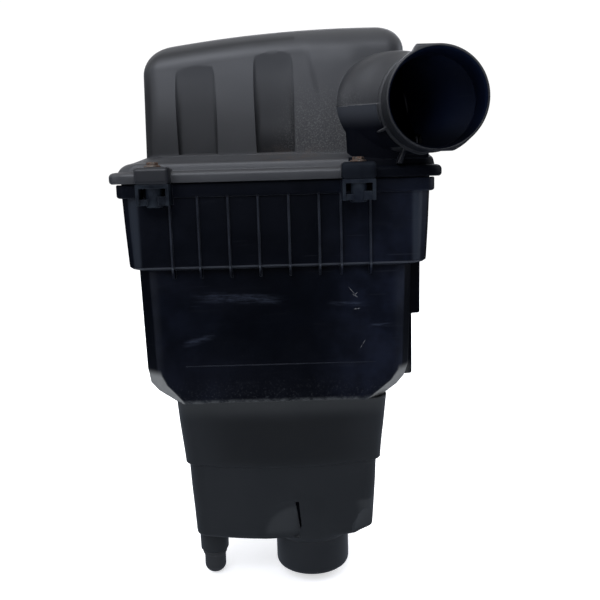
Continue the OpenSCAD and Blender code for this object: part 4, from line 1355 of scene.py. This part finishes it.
def in_shade(x, y, z, n):
    # the neck's underside, the wall below it, the flange's right front and its lug
    if 93 < x < 104 and y < 4.5 and 9.6 < z < 23:
        return False
    if z < 13.2:
        return x > 72 and y < 20 or (x > 52 and y < -4.5)
    if n.z > 0.3 and z < 22:
        return x > 63 and y < 20.6
    if x > 56.45 and z < 41.6 and -5.6 < y < 20.6 and math.hypot(x - OUT[0], z - OUT[1]) > 36.2 and (y < 13.0 or n.x < -0.3 or x > 66):
        return True
    gap, dx, dz = neck_gap(x, y, z)
    return 13.2 <= z < 54.95 and x > 48 and -1.55 < y < 20.5 and n.x < 0.35 and abs(gap) < 2.2 and n.x * dx + n.z * dz > 0.2


finish_piece(build_lid(), "lid_shell", M_LID, "lid", ["lid_cover"], dark=[(M_BORE_SHADE, in_bore), (M_UNDER, in_shade)])
finish_piece(build_housing(), "housing_shell", M_HOUSING, "housing", ["main_housing"])
# the chamber's narrow slot takes the painted shade
finish_piece(build_chamber(), "chamber_shell", M_CHAMBER, "housing", ["lower_chamber"], dark=[(M_BORE_SHADE, lambda x, y, z, n: 9.0 < x < 15.2 and abs(y - 21.3) < 0.08 and n.y < -0.98 and -296 < z < -272)])
finish_piece(build_tube(), "intake_duct", M_TUBE, "housing", ["intake_tube"])
finish_piece(build_cap(), "peg_rubber_cap", M_CAP, "housing", ["peg_cap"])
finish_piece(build_pleats(), "pleated_paper", m_paper(), "filter", ["filter_pleats"], angle=60)
finish_piece(build_seal(), "moulded_seal", m_seal(), "filter", ["filter_seal"])
finish_piece(build_beads(), "hot_melt_beads", m_hot(), "filter", ["filter_glue_beads"], angle=80)
M_SCREW, M_BRASS, M_STEEL = m_screw(), m_brass(), m_steel()
for k, (sx, sy) in SCREWS.items():
    finish_piece(build_screw(sx, sy), "screw_" + k, M_SCREW, "screw_" + k, ["lid_screw_" + k], angle=28)
    finish_piece(build_insert(sx, sy), "threaded_insert_" + k, M_BRASS, "housing", ["insert_" + k], angle=28)
for k, bx in BUSH.items():
    finish_piece(build_bush(bx), "rubber_bush_" + k, M_BUSH, "housing", ["mount_bush_" + k])
    finish_piece(build_sleeve(bx), "steel_sleeve_" + k, M_STEEL, "housing", ["mount_sleeve_" + k])

for ob in list(WORK.objects):
    bpy.data.objects.remove(ob, do_unlink=True)
bpy.data.collections.remove(WORK)

# ---------------------------------------------------------------- camera
def make_camera():
    # level with the parting plane, tilted down 9.5 degrees
    p, r = math.radians(9.5), math.radians(1.6)
    fwd = Vector((0, math.cos(p), -math.sin(p)))
    right = Vector((1, 0, 0))
    up = right.cross(fwd)
    R = right * math.cos(r) - up * math.sin(r)
    U = right * math.sin(r) + up * math.cos(r)
    m = Matrix((R, U, -fwd)).transposed().to_4x4()
    m.translation = Vector(row((18.7, -560, 0)))
    cam = bpy.data.cameras.new("camera")
    cam.lens = 718 / 600 * 36
    cam.sensor_width = 36
    cam.clip_start = 0.01
    ob = bpy.data.objects.new("camera", cam)
    bpy.context.scene.collection.objects.link(ob)
    ob.matrix_world = m
    bpy.context.scene.camera = ob


make_camera()

# ---------------------------------------------------------------- studio
FLOOR_Z = (-351.6 + 338.0) / 1000.0


def plane(name, x0, x1, y0, y1, z, mat):
    me = bpy.data.meshes.new(name)
    me.from_pydata([(x0, y0, z), (x1, y0, z), (x1, y1, z), (x0, y1, z)], [], [(0, 1, 2, 3)])
    me.materials.append(mat)
    ob = bpy.data.objects.new(name, me)
    bpy.context.scene.collection.objects.link(ob)
    return ob


def floor_mat():
    mat = bpy.data.materials.new("studio_floor")
    g = G(mat)
    b = g.n("ShaderNodeBsdfPrincipled")
    b.inputs["Base Color"].default_value = (0.93, 0.93, 0.93, 1)
    b.inputs["Roughness"].default_value = 0.9
    b.inputs["Specular IOR Level"].default_value = 0.1
    b.inputs["Emission Color"].default_value = (1, 1, 1, 1)
    b.inputs["Emission Strength"].default_value = 0.55
    g.link(b.outputs[0], g.out.inputs["Surface"])
    return mat


def card_mat(strength):
    mat = bpy.data.materials.new("studio_card")
    g = G(mat)
    e = g.n("ShaderNodeEmission")
    e.inputs["Strength"].default_value = strength
    e.inputs["Color"].default_value = (0.86, 0.96, 1.15, 1)
    g.link(e.outputs[0], g.out.inputs["Surface"])
    return mat


fl = plane("floor", -6, 6, -6, 6, FLOOR_Z, floor_mat())
fl.visible_glossy = False
card = plane("floor_card", -0.55, 0.68, -0.42, 0.55, FLOOR_Z + 0.0004, card_mat(0.42))
card.visible_camera = False
card.visible_diffuse = False
card.visible_shadow = False
card.visible_transmission = False


def area(name, loc, target, sx, sy, power, col=(1, 1, 1), glossy=True):
    lt = bpy.data.lights.new(name, "AREA")
    lt.shape = "RECTANGLE"
    lt.size, lt.size_y = sx, sy
    lt.energy = power
    lt.color = col
    ob = bpy.data.objects.new(name, lt)
    bpy.context.scene.collection.objects.link(ob)
    d = Vector(target) - Vector(loc)
    ob.location = loc
    ob.rotation_euler = d.to_track_quat("-Z", "Y").to_euler()
    ob.visible_camera = False
    ob.visible_glossy = glossy
    return ob


area("softbox_front", (-0.25, -1.35, 1.35), (0.06, 0.0, 0.32), 1.3, 0.8, 15, (0.93, 0.97, 1.07))
area("softbox_left", (-1.3, -0.35, 0.85), (0.05, 0.05, 0.3), 0.6, 0.9, 3.0, (0.93, 0.97, 1.07))
area("overhead", (0.07, 0.5, 2.0), (0.07, 0.05, 0.0), 1.6, 1.6, 22, glossy=False)
area("softbox_back", (0.35, 1.6, 1.0), (0.07, 0.05, 0.25), 1.4, 1.0, 14, (0.93, 0.97, 1.07))
area("softbox_right", (1.7, 0.35, 0.7), (0.07, 0.08, 0.25), 0.7, 1.0, 5, (0.93, 0.97, 1.07))

world = bpy.data.worlds.new("studio")
bpy.context.scene.world = world
world.use_nodes = True
wt = world.node_tree
wt.nodes.clear()
wo = wt.nodes.new("ShaderNodeOutputWorld")
lp = wt.nodes.new("ShaderNodeLightPath")
tc = wt.nodes.new("ShaderNodeTexCoord")
sep = wt.nodes.new("ShaderNodeSeparateXYZ")
wt.links.new(tc.outputs["Generated"], sep.inputs[0])
cr = wt.nodes.new("ShaderNodeValToRGB")
mr = wt.nodes.new("ShaderNodeMapRange")
mr.inputs["From Min"].default_value = -1.0
mr.inputs["From Max"].default_value = 1.0
wt.links.new(sep.outputs["Z"], mr.inputs["Value"])
wt.links.new(mr.outputs["Result"], cr.inputs["Fac"])
stops = [(0.0, (0.010, 0.012, 0.020)), (0.46, (0.012, 0.015, 0.028)), (0.52, (0.020, 0.025, 0.045)), (0.58, (0.12, 0.13, 0.16)), (0.66, (0.42, 0.43, 0.46)), (0.80, (0.70, 0.70, 0.72)), (1.0, (0.55, 0.55, 0.56))]
el = cr.color_ramp.elements
while len(el) > 1:
    el.remove(el[-1])
el[0].position, el[0].color = stops[0][0], (*stops[0][1], 1)
for p, c in stops[1:]:
    e = el.new(p)
    e.color = (*c, 1)
bg1 = wt.nodes.new("ShaderNodeBackground")
wt.links.new(cr.outputs["Color"], bg1.inputs["Color"])
bg2 = wt.nodes.new("ShaderNodeBackground")
bg2.inputs["Color"].default_value = (1, 1, 1, 1)
bg2.inputs["Strength"].default_value = 1.05
mx = wt.nodes.new("ShaderNodeMixShader")
wt.links.new(lp.outputs["Is Camera Ray"], mx.inputs[0])
wt.links.new(bg1.outputs[0], mx.inputs[1])
wt.links.new(bg2.outputs[0], mx.inputs[2])
wt.links.new(mx.outputs[0], wo.inputs["Surface"])

bpy.context.scene.view_settings.view_transform = "Standard"
bpy.context.scene.view_settings.look = "None"
